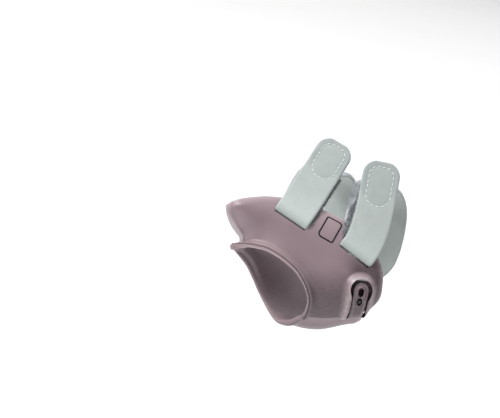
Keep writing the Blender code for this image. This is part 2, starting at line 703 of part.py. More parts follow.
def make_peg(material):
    """Turned stud that stands on the tongue and passes through the eyelet."""
    foot = press(mound_line(PEG_PLACE), TONGUE_LINING_GAP + TONGUE_WALL + PIECE_GAP)[0]
    out = guide_normal(foot)
    side = unit(np.cross(out, np.array([1.0, 0, 0])))
    other = np.cross(out, side)
    top = OVER_LINING_GAP + TAB_RISE + SHELL_WALL - TONGUE_LINING_GAP - TONGUE_WALL
    profile = (
        (0.0, PEG_FOOT_RADIUS),
        (PEG_FOOT_THICK, PEG_FOOT_RADIUS),
        (PEG_FOOT_THICK + PEG_CHAMFER, PEG_RADIUS),
        (top, PEG_RADIUS),
        (top + PEG_CHAMFER, PEG_TIP_SHARE*PEG_RADIUS),
    )
    turn = np.linspace(0, 2*math.pi, ROUND_STEPS, endpoint=False)[:, None]
    spoke = np.cos(turn)*side + np.sin(turn)*other
    points = np.concatenate([foot + height*out + radius*spoke for height, radius in profile])
    faces = sweep_faces(len(profile), ROUND_STEPS, False)
    faces.append(tuple(range(ROUND_STEPS)))
    faces.append(tuple((len(profile) - 1)*ROUND_STEPS + k for k in range(ROUND_STEPS)))
    return make_object("closure_peg", points, faces, material)


def make_material(name, colour, roughness):
    material = bpy.data.materials.new(name)
    material.use_nodes = True
    shader = material.node_tree.nodes["Principled BSDF"]
    shader.inputs["Base Color"].default_value = (*colour, 1.0)
    shader.inputs["Roughness"].default_value = roughness
    shader.inputs["Metallic"].default_value = 0.0
    return material


def main():
    for thing in list(bpy.data.objects):
        bpy.data.objects.remove(thing)
    moulding = make_material("moulding", (0.25, 0.19, 0.21), 0.45)
    peg = make_material("dark_peg", (0.04, 0.03, 0.035), 0.40)
    webbing = make_material("webbing", (0.42, 0.46, 0.44), 0.80)
    hook = make_material("hook_patch", (0.36, 0.39, 0.37), 0.85)
    make_shell(moulding)
    make_peg(peg)
    make_strap("hand_strap", HAND_STRAP_ROUTE, HAND_SLOT, HAND_LEG_LONG, HAND_LEG_LEAN, webbing)
    make_strap("wrist_strap", WRIST_STRAP_ROUTE, WRIST_SLOT, WRIST_LEG_LONG, WRIST_LEG_LEAN, webbing)
    make_hook("hand_tab_hook", HAND_SLOT, HAND_LEG_LONG, HAND_LEG_LEAN, hook)
    make_hook("wrist_tab_hook", WRIST_SLOT, WRIST_LEG_LONG, WRIST_LEG_LEAN, hook)


main()
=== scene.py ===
"""Looks of the thumb brace: the moulded shell, its two straps with pile and stitching, the
hook patches and the closure peg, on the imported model's frame.

Metres, +Z up. The pieces follow the guide surface that the CAD follows: an elliptic section for
the hand, round cones for the thumb and a smooth blend between them. A "level" is a height above
that surface. Tables hold lengths as shares of the sizes named in their column notes.
"""

import math

import bpy
import numpy as np
from mathutils import Matrix


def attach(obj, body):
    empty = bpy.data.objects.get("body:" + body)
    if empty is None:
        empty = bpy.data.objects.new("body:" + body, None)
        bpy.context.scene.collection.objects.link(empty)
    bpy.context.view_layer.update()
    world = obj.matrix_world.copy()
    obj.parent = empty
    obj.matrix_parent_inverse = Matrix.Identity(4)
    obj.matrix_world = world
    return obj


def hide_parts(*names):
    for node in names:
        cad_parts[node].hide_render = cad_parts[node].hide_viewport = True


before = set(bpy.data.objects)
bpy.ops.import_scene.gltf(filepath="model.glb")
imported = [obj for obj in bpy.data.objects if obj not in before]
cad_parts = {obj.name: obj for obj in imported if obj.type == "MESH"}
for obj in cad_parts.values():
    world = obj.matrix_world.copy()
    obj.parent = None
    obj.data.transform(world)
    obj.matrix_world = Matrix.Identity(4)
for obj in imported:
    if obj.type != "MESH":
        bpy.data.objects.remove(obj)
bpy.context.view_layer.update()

# Sizes, as in the CAD
WRIST_BREADTH = 0.062
WRIST_THICK = 0.043
THUMB_THICK = 0.029
SHELL_LONG = 0.088
SHELL_WALL = 0.0026
SHELL_LINING_GAP = 0.0023
TONGUE_WALL = 0.0020
TONGUE_LINING_GAP = 0.0003
EDGE_TAPER_LONG = 0.0040
EDGE_TAPER_SHARE = 0.55
FLANGE_LONG = 0.0034
FLANGE_RISE = 0.0015
WEB_CUT_ROUND = 0.0090
WEB_FLANGE_RISE = 0.0012
PALM_RIM_DROP = 0.0015
PALM_RIM_REACH = 0.0120
MOUND_RADIUS = 0.0082
MOUND_SLOPE = 0.0042
MOUND_RISE = 0.0034
MOUND_LONG = 0.034
TAB_RISE = 0.0024
TAB_HALF_WIDE = 0.0034
TAB_SLOT_WIDE = 0.0010
TAB_LONG = 0.0130
EYELET_LONG = 0.0076
EYELET_WIDE = 0.0026
EYELET_MIDDLE = 0.0026
FRAME_LONG = 0.0102
FRAME_WIDE = 0.0073
FRAME_CORNER = 0.0016
FRAME_LINE_WIDE = 0.0007
FRAME_LINE_DEEP = 0.0005
STRAP_WIDE = 0.0170
STRAP_THICK = 0.0017
STRAP_SKIN_GAP = 0.0002
STRAP_SHELL_GAP = 0.00035
STRAP_CORNER = 0.0065
HAND_LEG_LONG = 0.0418
WRIST_LEG_LONG = 0.0420
HAND_LEG_LEAN = -3.0
WRIST_LEG_LEAN = -27.0
HOOK_WIDE = 0.0125
HOOK_LONG = 0.0190
HOOK_END_MARGIN = 0.0022
PEG_RADIUS = 0.00095
PEG_FOOT_RADIUS = 0.0022
PEG_FOOT_THICK = 0.0008
PEG_PLACE = 0.0049
PIECE_GAP = 0.0003

HALF_BREADTH = WRIST_BREADTH/2
HALF_THICK = WRIST_THICK/2
THUMB_RADIUS = THUMB_THICK/2

# Hand section: along (share of SHELL_LONG), mid_up (HALF_THICK), half_breadth (HALF_BREADTH),
# half_thick (HALF_THICK)
HAND_SECTIONS = np.array([
    (-1.14, 0.56, 1.32, 0.58),
    (-0.85, 0.46, 1.34, 0.70),
    (-0.51, 0.28, 1.22, 0.86),
    (-0.23, 0.14, 1.06, 0.98),
    (0.00, 0.09, 1.00, 1.00),
    (0.34, 0.00, 1.00, 1.00),
    (0.68, -0.09, 1.06, 1.07),
])

# Thumb: along (SHELL_LONG), across (HALF_BREADTH), up (HALF_THICK), radius (THUMB_RADIUS)
THUMB_SECTIONS = np.array([
    (-0.03, -0.65, -0.65, 0.86),
    (-0.28, -0.97, -0.86, 0.98),
    (-0.56, -1.32, -0.96, 0.92),
    (-0.91, -1.77, -1.16, 0.72),
    (-1.19, -2.13, -1.30, 0.69),
])

# Blend between hand and thumb: along (SHELL_LONG), reach (THUMB_RADIUS)
BLEND_REACH = np.array([
    (-1.02, 0.34),
    (-0.85, 0.41),
    (-0.70, 0.69),
    (-0.51, 1.38),
    (-0.23, 1.66),
    (0.45, 1.66),
])
THUMB_JOINT_BLEND = 0.28

WEB_CUT_POINT = (-0.815, -1.48, 0.614)
WEB_CUT_FACING = (-0.716, -0.436, -0.545)

# Shell strip: rim and edge points as shares of SHELL_LONG, HALF_BREADTH and HALF_THICK, then
# over (1 where the wing lies over the tongue) and tuck (1 on the tongue)
SHELL_STRIP = np.array([
    # rim_along, rim_across, rim_up, edge_along, edge_across, edge_up, over, tuck
    (-0.324, -1.67, -1.28, -0.012, -1.25, -1.03, 1.0, 0.0),
    (-0.302, -1.70, -1.08, 0.014, -1.27, -0.86, 1.0, 0.0),
    (-0.299, -1.72, -0.78, 0.046, -1.28, -0.57, 1.0, 0.0),
    (-0.319, -1.71, -0.58, 0.043, -1.29, -0.24, 1.0, 0.0),
    (-0.350, -1.70, -0.40, 0.018, -1.26, 0.11, 0.8, 0.0),
    (-0.398, -1.68, -0.21, -0.061, -1.16, 0.49, 0.0, 0.0),
    (-0.457, -1.67, -0.08, -0.175, -1.05, 0.74, 0.0, 0.0),
    (-0.515, -1.65, 0.00, -0.313, -1.00, 0.88, 0.0, 0.0),
    (-0.569, -1.62, 0.03, -0.476, -1.02, 0.97, 0.0, 0.0),
    (-0.622, -1.59, 0.01, -0.616, -1.12, 0.96, 0.0, 0.0),
    (-0.675, -1.53, -0.06, -0.718, -1.26, 0.89, 0.0, 0.0),
    (-0.716, -1.48, -0.16, -0.800, -1.37, 0.75, 0.0, 0.0),
    (-0.750, -1.47, -0.23, -0.842, -1.40, 0.59, 0.0, 0.0),
    (-0.750, -1.32, -0.37, -0.850, -1.16, 0.42, 0.0, 0.0),
    (-0.727, -1.10, -0.60, -0.807, -0.87, 0.00, 0.0, 0.0),
    (-0.682, -0.87, -0.88, -0.682, -0.48, -0.51, 0.0, 0.0),
    (-0.640, -0.80, -1.16, -0.511, -0.19, -0.74, 0.0, 0.0),
    (-0.580, -0.90, -1.40, -0.318, -0.10, -0.93, 0.0, 0.0),
    (-0.512, -1.08, -1.54, -0.148, -0.19, -1.12, 0.0, 0.0),
    (-0.440, -1.30, -1.62, -0.052, -0.52, -1.26, 0.0, 0.0),
    (-0.370, -1.46, -1.60, -0.030, -0.87, -1.27, 0.0, 0.35),
    (-0.310, -1.55, -1.44, -0.014, -1.12, -1.15, 0.0, 1.0),
    (-0.216, -1.52, -1.02, 0.010, -1.26, -0.90, 0.0, 1.0),
    (-0.150, -1.48, -0.60, 0.016, -1.32, -0.56, 0.0, 1.0),
    (-0.130, -1.48, -0.23, 0.010, -1.35, -0.23, 0.0, 1.0),
])
STRIP_WEB_ROW = 11.5
STRIP_MOUND_ROW = 7.0
STRIP_TONGUE_ROW = 23.3
WEB_FLANGE_ROWS = 1.6
PALM_RIM_ROW = 18.0
PALM_RIM_ROWS = 2.2
MOUND_END_ROWS = 1.2
MOUND_END_SHARE = 0.45

# Middle line of the mound: along (SHELL_LONG), across (HALF_BREADTH), up (HALF_THICK)
MOUND_LINE = np.array([
    (-0.063, -1.42, -0.38),
    (-0.060, -1.43, -0.68),
    (-0.064, -1.39, -0.94),
    (-0.069, -1.32, -1.19),
    (-0.074, -1.20, -1.38),
])

# Places on the wing: along (SHELL_LONG), turn about the hand (degrees), slant (degrees)
HAND_SLOT = (-0.480, 15.5, 17.0)
WRIST_SLOT = (-0.117, 7.8, 22.0)
FRAME_PLACE = (-0.284, 14.5, 13.0)

# Strap routes: along (SHELL_LONG), turn (degrees), on_shell (1 on the palm wing)
HAND_STRAP_ROUTE = np.array([
    (-0.40, 301.0, 1.0),
    (-0.38, 291.0, 1.0),
    (-0.36, 281.0, 1.0),
    (-0.34, 270.0, 0.75),
    (-0.31, 255.0, 0.0),
    (-0.28, 220.0, 0.0),
    (-0.31, 180.0, 0.0),
    (-0.38, 130.0, 0.0),
    (-0.44, 90.0, 0.0),
    (-0.455, 60.0, 0.0),
    (-0.465, 30.0, 0.0),
])
WRIST_STRAP_ROUTE = np.array([
    (-0.19, 297.0, 1.0),
    (-0.17, 288.0, 1.0),
    (-0.15, 279.0, 1.0),
    (-0.12, 268.0, 0.75),
    (-0.08, 252.0, 0.0),
    (-0.01, 220.0, 0.0),
    (-0.01, 180.0, 0.0),
    (-0.09, 135.0, 0.0),
    (-0.140, 90.0, 0.0),
    (-0.145, 50.0, 0.0),
    (-0.133, 24.0, 0.0),
])

SIZES = np.array([SHELL_LONG, HALF_BREADTH, HALF_THICK])
OVER_LINING_GAP = TONGUE_LINING_GAP + TONGUE_WALL + PIECE_GAP + 0.0001
SHELL_TOP = SHELL_LINING_GAP + SHELL_WALL
STRAP_SKIN_LEVEL = STRAP_SKIN_GAP + STRAP_THICK/2
STRAP_SHELL_LEVEL = SHELL_TOP + STRAP_SHELL_GAP + STRAP_THICK/2
MOUND_CUT_LOW = OVER_LINING_GAP + 0.0004
LOOP_LEVEL = (STRAP_SKIN_LEVEL + STRAP_SHELL_LEVEL)/2
LOOP_RADIUS = (STRAP_SHELL_LEVEL - STRAP_SKIN_LEVEL)/2
SLOT_WIDE = LOOP_RADIUS + STRAP_THICK/2 + PIECE_GAP

# Detail that only the looks have: the shell's borders and rim
EDGE_ROUND = 0.0009
END_ROUND = 0.0009
BEAD_PLACE = 0.0021
BEAD_HALF = 0.0008
BEAD_RISE = 0.00035
GROOVE_PLACE = 0.0011
GROOVE_HALF = 0.00026
GROOVE_DEEP = 0.00035
# Painted highlight along the rim; paler edges
RIM_SHINE_HALF = 0.0016
EDGE_WORN = 0.0012

# Crease and ridge at the web's end, with painted shade in the crease and painted highlights on the ridge
# and on the strip past the crease: rows are those of SHELL_STRIP
CREASE_ROW = 11.80
CREASE_HALF = 0.085
CREASE_DEEP = 0.0004
RIDGE_ROW = 11.15
RIDGE_HALF = 0.30
RIDGE_RISE = 0.0007
SHINE_HALF = 0.16
SHINE_SHARE = 0.7
WEB_STRIP_FROM = 11.9
WEB_STRIP_TO = 12.9
WEB_LOW_REACH = 0.013

# Speckled painted shade on the shell: below a height, and beyond the mound
LOW_SHADE = 0.85
LOW_FROM = 0.003
LOW_SPAN = 0.018
BEYOND_REACH = 0.018
BEYOND_ROW = 5.2
BEYOND_MOUND = 0.0062
LINING_SHADE = 0.6

# Slots, framed field, mound's ribs and eyelet
# The slots are cut wider and lower than the strap needs, so their dark walls show as a painted shadow
# under each fold
SLOT_LOOK_SIDE = 0.00015
SLOT_LOOK_LOW = 0.0011
SLOT_LOW_CORNER = 0.0007
SLOT_LEAN = 0.0018
SLOT_CUT_LOW = 0.0012
SLOT_CUT_HIGH = 0.0078
MOUND_CUT_HIGH = 0.0110
TAB_CUT_WIDE = 0.0006
TAB_HEAD_WIDER = 0.0012
TAB_HEAD_LONG = 0.0045
TAB_ROOT_WIDER = 0.0006
TAB_ROOT_PLACE = 0.0085
FRAME_SHARP_CORNER = 0.0006
# Painted highlights on the mound's shoulder and on the ribs: place and half widths
SHOULDER_PLACE = 0.0054
SHOULDER_HALF = 0.0010
RIB_ASIDE = 0.0026
RIB_HALF = 0.00034
RIB_SHINE_HALF = 0.0005
RIB_RISE = 0.0008
RIB_START = 0.002
RIB_END = 0.019
RIB_FADE = 0.003
RING_RISE = 0.0006
RING_HALF = 0.0004
EYELET_BRIDGE = 0.0030
EYELET_BRIDGE_HALF = 0.0003

# Stitches, pile and hooks
STITCH_LONG = 0.0017
STITCH_GAP = 0.0007
STITCH_THICK = 0.00034
STITCH_INSET = 0.0007
STITCH_SWAY = 0.0005
STITCH_TURN = 0.22
STITCH_SINK = 0.00008
OUTLINE_TIP_CORNER = 0.0042
PUCKER_DEEP = 0.00016
PUCKER_REACH = 0.0008
FIELD_FADE = 0.0006
TIP_FADE = 0.006
BORDER_HALF = 0.0007
BORDER_SHARE = 0.6
LIFT_BELOW = 0.004
LIFT_SHARE = 0.42
LIFT_REACH = 0.016
# Share of painted shade on a strap's pile face
FACE_SHADE = 0.25
SEWN_LONG = 0.015
SEWN_MARGIN = 0.0020
SEWN_BARE = 0.35
PILE_UNDER_SHELL = 0.0165
PILE_FOLD_GAP = 0.0010
PILE_STITCH_GAP = 0.0005
PILE_TALL = 0.00065
PILE_THICK = 0.00010
PILE_PER_AREA = 5.0e6
FRINGE_PER_LENGTH = 9.0e4
FRINGE_SHARE = 0.62
HOOK_PITCH = 0.00075
HOOK_BASE = 0.00045
HOOK_TALL = 0.00050
HOOK_OVER = 0.00030
HOOK_STEM = 0.00011

# Lamps: name, place, breadth, watts
LAMPS = (
    ("key", (-0.80, -0.45, 0.85), 0.50, 14.0),
    ("top", (0.00, 0.60, 2.60), 6.0, 150.0),
    ("side", (0.95, -0.35, 0.25), 0.8, 0.5),
)
LAMPS_AIM = (-0.03, -0.01, 0.0)
ROOM_LIGHT = 0.12
FLOOR_UP = -0.2
FLOOR_CORNERS = ((-6, -4), (6, -4), (6, 9), (-6, 9))

# Camera: place, then degrees turned, raised and rolled
CAMERA_PLACE = (0.000432, -0.495427, 0.179829)
CAMERA_ANGLES = (7.798, 19.881, 12.230)
CAMERA_LENS = 78.54


# Guide surface

def spline_at(table, where):
    """Smooth values of a table's later columns at places in its first column."""
    places, values = table[:, 0], table[:, 1:]
    slopes = np.gradient(values, places, axis=0)
    where = np.clip(where, places[0], places[-1])
    i = np.clip(np.searchsorted(places, where, side="right") - 1, 0, len(places) - 2)
    gap = places[i + 1] - places[i]
    t = ((where - places[i])/gap)[..., None]
    gap = gap[..., None]
    start = (2*t**3 - 3*t**2 + 1)*values[i] + (t**3 - 2*t**2 + t)*gap*slopes[i]
    end = (3*t**2 - 2*t**3)*values[i + 1] + (t**3 - t**2)*gap*slopes[i + 1]
    return start + end


def by_row(table, rows):
    """Smooth values of all columns at fractional row numbers."""
    numbered = np.column_stack([np.arange(len(table)), table])
    return spline_at(numbered, np.asarray(rows, float))


def smooth_step(x):
    x = np.clip(x, 0.0, 1.0)
    return x*x*(3 - 2*x)


def bell(x, middle, half):
    return np.exp(-((x - middle)/half)**2)


def blended_min(a, b, reach):
    """The lesser of a and b, rounded where they are within reach of each other."""
    near = np.maximum(reach - np.abs(a - b), 0)/reach
    return np.minimum(a, b) - near*near*reach/4


def hand_height(p):
    mid_up, breadth, thick = np.moveaxis(spline_at(HAND_SECTIONS, p[..., 0]/SHELL_LONG), -1, 0)
    across = p[..., 1]/(breadth*HALF_BREADTH)
    up = (p[..., 2] - mid_up*HALF_THICK)/(thick*HALF_THICK)
    ratio = np.sqrt(across**2 + up**2)
    slope = np.sqrt((across/(breadth*HALF_BREADTH))**2 + (up/(thick*HALF_THICK))**2) + 1e-9
    return ratio*(ratio - 1)/slope


def thumb_height(p):
    points = THUMB_SECTIONS[:, :3]*SIZES
    radii = THUMB_SECTIONS[:, 3]*THUMB_RADIUS
    height = None
    for a, b, radius_a, radius_b in zip(points[:-1], points[1:], radii[:-1], radii[1:]):
        bone = b - a
        share = np.clip((p - a) @ bone/(bone @ bone), 0, 1)
        here = np.linalg.norm(p - a - share[..., None]*bone, axis=-1)
        here = here - radius_a - share*(radius_b - radius_a)
        if height is None:
            height = here
        else:
            height = blended_min(height, here, THUMB_JOINT_BLEND*THUMB_RADIUS)
    return height


def guide_height(p):
    """Height of p above the hand and thumb together."""
    facing = np.array(WEB_CUT_FACING)
    facing = facing/np.linalg.norm(facing)
    web_cut = (p - np.array(WEB_CUT_POINT)*SIZES) @ facing + SHELL_TOP
    hand = -blended_min(-hand_height(p), -web_cut, WEB_CUT_ROUND)
    reach = spline_at(BLEND_REACH, p[..., 0]/SHELL_LONG)[..., 0]*THUMB_RADIUS
    return blended_min(hand, thumb_height(p), reach)


def guide_normal(p):
    step = 0.00005
    slopes = [guide_height(p + step*axis) - guide_height(p - step*axis) for axis in np.eye(3)]
    normal = np.stack(slopes, -1)
    return normal/np.linalg.norm(normal, axis=-1, keepdims=True)


def press(p, level):
    """Move p along the guide's normals to the given level."""
    for _ in range(6):
        p = p + (level - guide_height(p))[..., None]*guide_normal(p)
    return p


def unit(v):
    return v/np.linalg.norm(v, axis=-1, keepdims=True)


def round_hand(along, turn, level):
    """Point at a level, at a turn about the hand's middle line at a place along it."""
    along = np.atleast_1d(along)
    turn = np.radians(np.atleast_1d(turn))
    middle_up = spline_at(HAND_SECTIONS, along)[..., 0]*HALF_THICK
    start = np.stack([along*SHELL_LONG, np.zeros_like(along), middle_up], -1)
    ray = np.stack([np.zeros_like(turn), -np.cos(turn), np.sin(turn)], -1)
    near = np.zeros_like(turn)
    far = np.full_like(turn, 2.6*HALF_BREADTH)
    for _ in range(30):
        middle = (near + far)/2
        inside = guide_height(start + middle[:, None]*ray) < level
        near = np.where(inside, middle, near)
        far = np.where(inside, far, middle)
    return start + ((near + far)/2)[:, None]*ray


# Meshes

def make_object(name, points, faces, materials, kinds=None, values=None, flat=None, sharp=50):
    """A mesh from arrays: faces is a list of index arrays, each with one row per face; kinds is a
    material number per face; values holds named numbers per point; flat is a UV pair per point."""
    points = np.asarray(points, np.float32)
    sizes = np.concatenate([np.full(len(f), f.shape[1]) for f in faces])
    corners = np.concatenate([f.ravel() for f in faces]).astype(np.int32)
    mesh = bpy.data.meshes.new(name)
    mesh.vertices.add(len(points))
    mesh.vertices.foreach_set("co", points.ravel())
    mesh.loops.add(len(corners))
    mesh.loops.foreach_set("vertex_index", corners)
    mesh.polygons.add(len(sizes))
    mesh.polygons.foreach_set("loop_start", np.append(0, np.cumsum(sizes)[:-1]).astype(np.int32))
    for material in materials:
        mesh.materials.append(material)
    if kinds is not None:
        mesh.polygons.foreach_set("material_index", np.asarray(kinds, np.int32))
    for key, number in (values or {}).items():
        layer = mesh.attributes.new(key, "FLOAT", "POINT")
        layer.data.foreach_set("value", np.asarray(number, np.float32).ravel())
    if flat is not None:
        layer = mesh.uv_layers.new(name="flat")
        layer.data.foreach_set("uv", np.asarray(flat, np.float32)[corners].ravel())
    mesh.update(calc_edges=True)
    mesh.validate()
    mesh.shade_smooth()
    if sharp:
        mesh.set_sharp_from_angle(angle=math.radians(sharp))
    thing = bpy.data.objects.new(name, mesh)
    bpy.context.scene.collection.objects.link(thing)
    return thing


def grid_faces(rows, across, base=0, turned=False):
    """Quads of a grid of points, row by row."""
    a = (np.arange(rows - 1)[:, None]*across + np.arange(across - 1)).ravel() + base
    quads = np.stack([a, a + 1, a + across + 1, a + across], -1)
    return quads[:, ::-1] if turned else quads


def ring_faces(rows, loop, base=0, closed=False):
    """Quads between rows of a closed loop of points."""
    count = rows if closed else rows - 1
    i = np.arange(count)[:, None]
    j = np.arange(loop)
    k = (j + 1) % loop
    a, b = i*loop, ((i + 1) % rows)*loop
    return np.stack([a + j, a + k, b + k, b + j], -1).reshape(-1, 4) + base


def slab(top, under):
    """Points and faces of a closed slab between two grids that meet at their borders: the top
    grid, the under grid turned over, and a band of quads round the border."""
    rows, across = top.shape[:2]
    count = rows*across
    border = np.concatenate([
        np.arange(across),
        np.arange(1, rows)*across + across - 1,
        (rows - 1)*across + np.arange(across - 2, -1, -1),
        np.arange(rows - 2, 0, -1)*across,
    ])
    after = np.roll(border, -1)
    band = np.stack([after, border, border + count, after + count], -1)
    faces = [grid_faces(rows, across), grid_faces(rows, across, count, True), band]
    return np.concatenate([top.reshape(-1, 3), under.reshape(-1, 3)]), faces


def outward(points, faces):
    """The faces, turned over if the volume they close is negative."""
    volume = 0.0
    for f in faces:
        for k in range(1, f.shape[1] - 1):
            a, b, c = points[f[:, 0]], points[f[:, k]], points[f[:, k + 1]]
            volume += np.einsum("ij,ij->", a, np.cross(b, c))
    return [f[:, ::-1] for f in faces] if volume < 0 else faces


def round_edge(distance, reach):
    """Share of the full thickness at a distance from an edge: a quarter ellipse."""
    s = np.clip(distance/reach, 0, 1)
    return np.sqrt(np.maximum(1 - (1 - s)**2, 0))


def join_closed(parts):
    """Points and quads of several closed shells as one mesh."""
    base = 0
    points, quads = [], []
    for p, q in parts:
        points.append(p)
        quads.append(q + base)
        base += len(p)
    return np.concatenate(points), np.concatenate(quads)


# Materials

def linear(red, green, blue):
    """Scene colour from screen values of 0 to 255."""
    c = np.array([red, green, blue])/255
    c = np.where(c <= 0.04045, c/12.92, ((c + 0.055)/1.055)**2.4)
    return (*(float(x) for x in c), 1.0)


class Shader:
    """A material's node tree, with short calls for the nodes that these finishes use."""

    def __init__(self, name):
        self.material = bpy.data.materials.new(name)
        self.material.use_nodes = True
        self.tree = self.material.node_tree
        self.surface = self.tree.nodes["Principled BSDF"]
        self.coordinates = self.add("ShaderNodeTexCoord")

    def add(self, kind, **inputs):
        node = self.tree.nodes.new(kind)
        for key, value in inputs.items():
            self.put(node.inputs[key.replace("_", " ")], value)
        return node

    def put(self, socket, value):
        if isinstance(value, bpy.types.NodeSocket):
            self.tree.links.new(value, socket)
        else:
            socket.default_value = value

    def noise(self, scale, detail=2.0, rough=0.5, where=None):
        place = self.coordinates.outputs["Object"] if where is None else where
        node = self.add("ShaderNodeTexNoise", Vector=place, Scale=scale, Detail=detail)
        node.inputs["Roughness"].default_value = rough
        return node.outputs["Fac"]

    def attribute(self, name):
        node = self.add("ShaderNodeAttribute")
        node.attribute_name = name
        return node.outputs["Fac"]

    def math(self, operation, a, b=0.0, clamp=False):
        node = self.add("ShaderNodeMath")
        node.operation = operation
        node.use_clamp = clamp
        self.put(node.inputs[0], a)
        self.put(node.inputs[1], b)
        return node.outputs[0]

    def ramp(self, value, low, high, from_low=0.0, from_high=1.0):
        node = self.add("ShaderNodeMapRange")
        self.put(node.inputs["Value"], value)
        node.inputs["From Min"].default_value = from_low
        node.inputs["From Max"].default_value = from_high
        node.inputs["To Min"].default_value = low
        node.inputs["To Max"].default_value = high
        return node.outputs["Result"]

    def mix(self, share, a, b, blend="MIX"):
        node = self.add("ShaderNodeMix")
        node.data_type = "RGBA"
        node.blend_type = blend
        self.put(node.inputs[0], share)
        self.put(node.inputs[6], a)
        self.put(node.inputs[7], b)
        return node.outputs[2]

    def bump(self, height, strength, distance, below=None):
        node = self.add("ShaderNodeBump", Height=height, Strength=strength, Distance=distance)
        if below is not None:
            self.put(node.inputs["Normal"], below)
        return node.outputs["Normal"]

    def finish(self, colour, roughness, normal=None, **others):
        self.put(self.surface.inputs["Base Color"], colour)
        self.put(self.surface.inputs["Roughness"], roughness)
        if normal is not None:
            self.put(self.surface.inputs["Normal"], normal)
        for key, value in others.items():
            self.put(self.surface.inputs[key.replace("_", " ")], value)
        return self.material


def moulding_material():
    """Satin soft plastic: broad clouding, fine moulded grain, a painted highlight on the rim, paler
    edges with painted highlights, painted shade in the groove and crease, and speckled painted shade low
    down and beyond the mound."""
    s = Shader("moulding_satin")
    cloud = s.noise(55.0, 3.0)
    fine = s.noise(900.0, 2.0)
    grain = s.noise(4200.0, 3.0, 0.6)
    colour = s.mix(s.ramp(cloud, 0.0, 1.0, 0.3, 0.7), linear(131, 113, 119), linear(140, 122, 127))
    # Painted highlight along the rim, made patchy by the fine noise
    rim_highlight = s.math("MULTIPLY", s.attribute("rim"), s.ramp(fine, 0.75, 1.0, 0.3, 0.7))
    colour = s.mix(s.math("MULTIPLY", rim_highlight, 0.55), colour, linear(182, 160, 163))
    # Painted shade in the groove beside the rim and in the web's crease
    colour = s.mix(s.math("MULTIPLY", s.attribute("painted_groove_shade"), 0.75), colour, linear(84, 66, 70))
    # Speckled painted shade low down and beyond the mound
    speck = s.noise(2300.0, 2.0, 0.6)
    deep = s.math("MULTIPLY", s.attribute("deep"), s.ramp(speck, 0.55, 1.0, 0.35, 0.60))
    colour = s.mix(deep, colour, linear(74, 63, 68))
    # Paler edges, and painted highlights on the mound's shoulder, the ribs and the web's end
    wear_highlight_share = s.math("MULTIPLY", s.attribute("wear_and_highlight"), s.ramp(fine, 0.5, 1.0, 0.35, 0.65))
    colour = s.mix(s.math("MULTIPLY", wear_highlight_share, 0.60), colour, linear(190, 174, 176))
    rough = s.math("ADD", s.ramp(cloud, 0.37, 0.45), s.ramp(fine, -0.03, 0.04), True)
    normal = s.bump(grain, 0.10, 0.0002)
    normal = s.bump(s.noise(160.0, 2.0), 0.10, 0.0006, normal)
    return s.finish(colour, rough, normal, Specular_IOR_Level=0.5)


def line_dust_and_shade_material():
    """The same plastic inside the framing line and the slots, dark with dust and with painted shade."""
    s = Shader("moulding_line_dust_and_shade")
    dust = s.noise(1600.0, 2.0)
    colour = s.mix(dust, linear(20, 15, 17), linear(40, 32, 35))
    return s.finish(colour, s.ramp(dust, 0.6, 0.75), s.bump(dust, 0.15, 0.0002))


def cloth_material(name, pale, deep, margin):
    """Fine smooth knit: two crossed waves of stitches, mottling, paler towards the fold, and a
    deeper tone inside the stitched outline and along the strap's borders."""
    s = Shader(name)
    flat = s.coordinates.outputs["UV"]
    heights = []
    for direction, scale in (("X", 340.0), ("Y", 300.0)):
        wave = s.add("ShaderNodeTexWave", Vector=flat, Scale=scale, Distortion=1.2)
        wave.bands_direction = direction
        wave.inputs["Detail"].default_value = 1.0
        wave.inputs["Detail Scale"].default_value = 2.0
        heights.append(wave.outputs["Fac"])
    knit = s.math("MULTIPLY", heights[0], heights[1])
    mottle = s.noise(260.0, 4.0, 0.6)
    cloud = s.noise(45.0, 2.0)
    colour = s.mix(s.ramp(cloud, 0.0, 1.0, 0.3, 0.7), deep, pale)
    colour = s.mix(s.attribute("lift"), colour, linear(190, 200, 195))
    colour = s.mix(s.math("MULTIPLY", s.attribute("field"), 0.75), colour, linear(155, 164, 160))
    colour = s.mix(s.math("MULTIPLY", s.attribute("margin"), 0.75), colour, margin)
    colour = s.mix(s.ramp(mottle, 0.0, 0.10, 0.3, 0.7), colour, linear(226, 232, 229))
    colour = s.mix(s.ramp(knit, 0.10, 0.0, 0.0, 0.6), colour, linear(120, 128, 125))
    normal = s.bump(knit, 0.22, 0.00010)
    normal = s.bump(mottle, 0.12, 0.00025, normal)
    sheen = {"Sheen_Weight": 0.25, "Sheen_Roughness": 0.5, "Specular_IOR_Level": 0.25}
    return s.finish(colour, s.ramp(mottle, 0.74, 0.90), normal, **sheen)


def pile_material():
    """Loop pile: pale grey loops with dark flecks of painted shade between them, and more painted shade
    by each point's share.
    """
    s = Shader("strap_pile")
    fleck = s.noise(1500.0, 3.0, 0.6)
    cloud = s.noise(150.0, 2.0)
    colour = s.mix(s.ramp(cloud, 0.0, 1.0, 0.3, 0.7), linear(172, 177, 182), linear(214, 219, 223))
    # Painted shade: dark flecks between the loops
    colour = s.mix(s.ramp(fleck, 0.0, 0.65, 0.54, 0.68), colour, linear(92, 92, 98))
    # Painted shade by each point's share: on the standing leg's back, its fringe and the strap's pile
    # face
    colour = s.mix(s.attribute("pile_shade"), colour, linear(48, 42, 44))
    sheen = {"Sheen_Weight": 0.2, "Specular_IOR_Level": 0.3}
    return s.finish(colour, s.ramp(fleck, 0.7, 0.9), s.bump(fleck, 0.3, 0.0002), **sheen)


def thread_material():
    """White sewing thread with a fine twist."""
    s = Shader("sewing_thread")
    twist = s.noise(3800.0, 2.0)
    colour = s.mix(twist, linear(206, 210, 207), linear(240, 242, 240))
    return s.finish(colour, s.ramp(twist, 0.55, 0.75), s.bump(twist, 0.4, 0.0001))


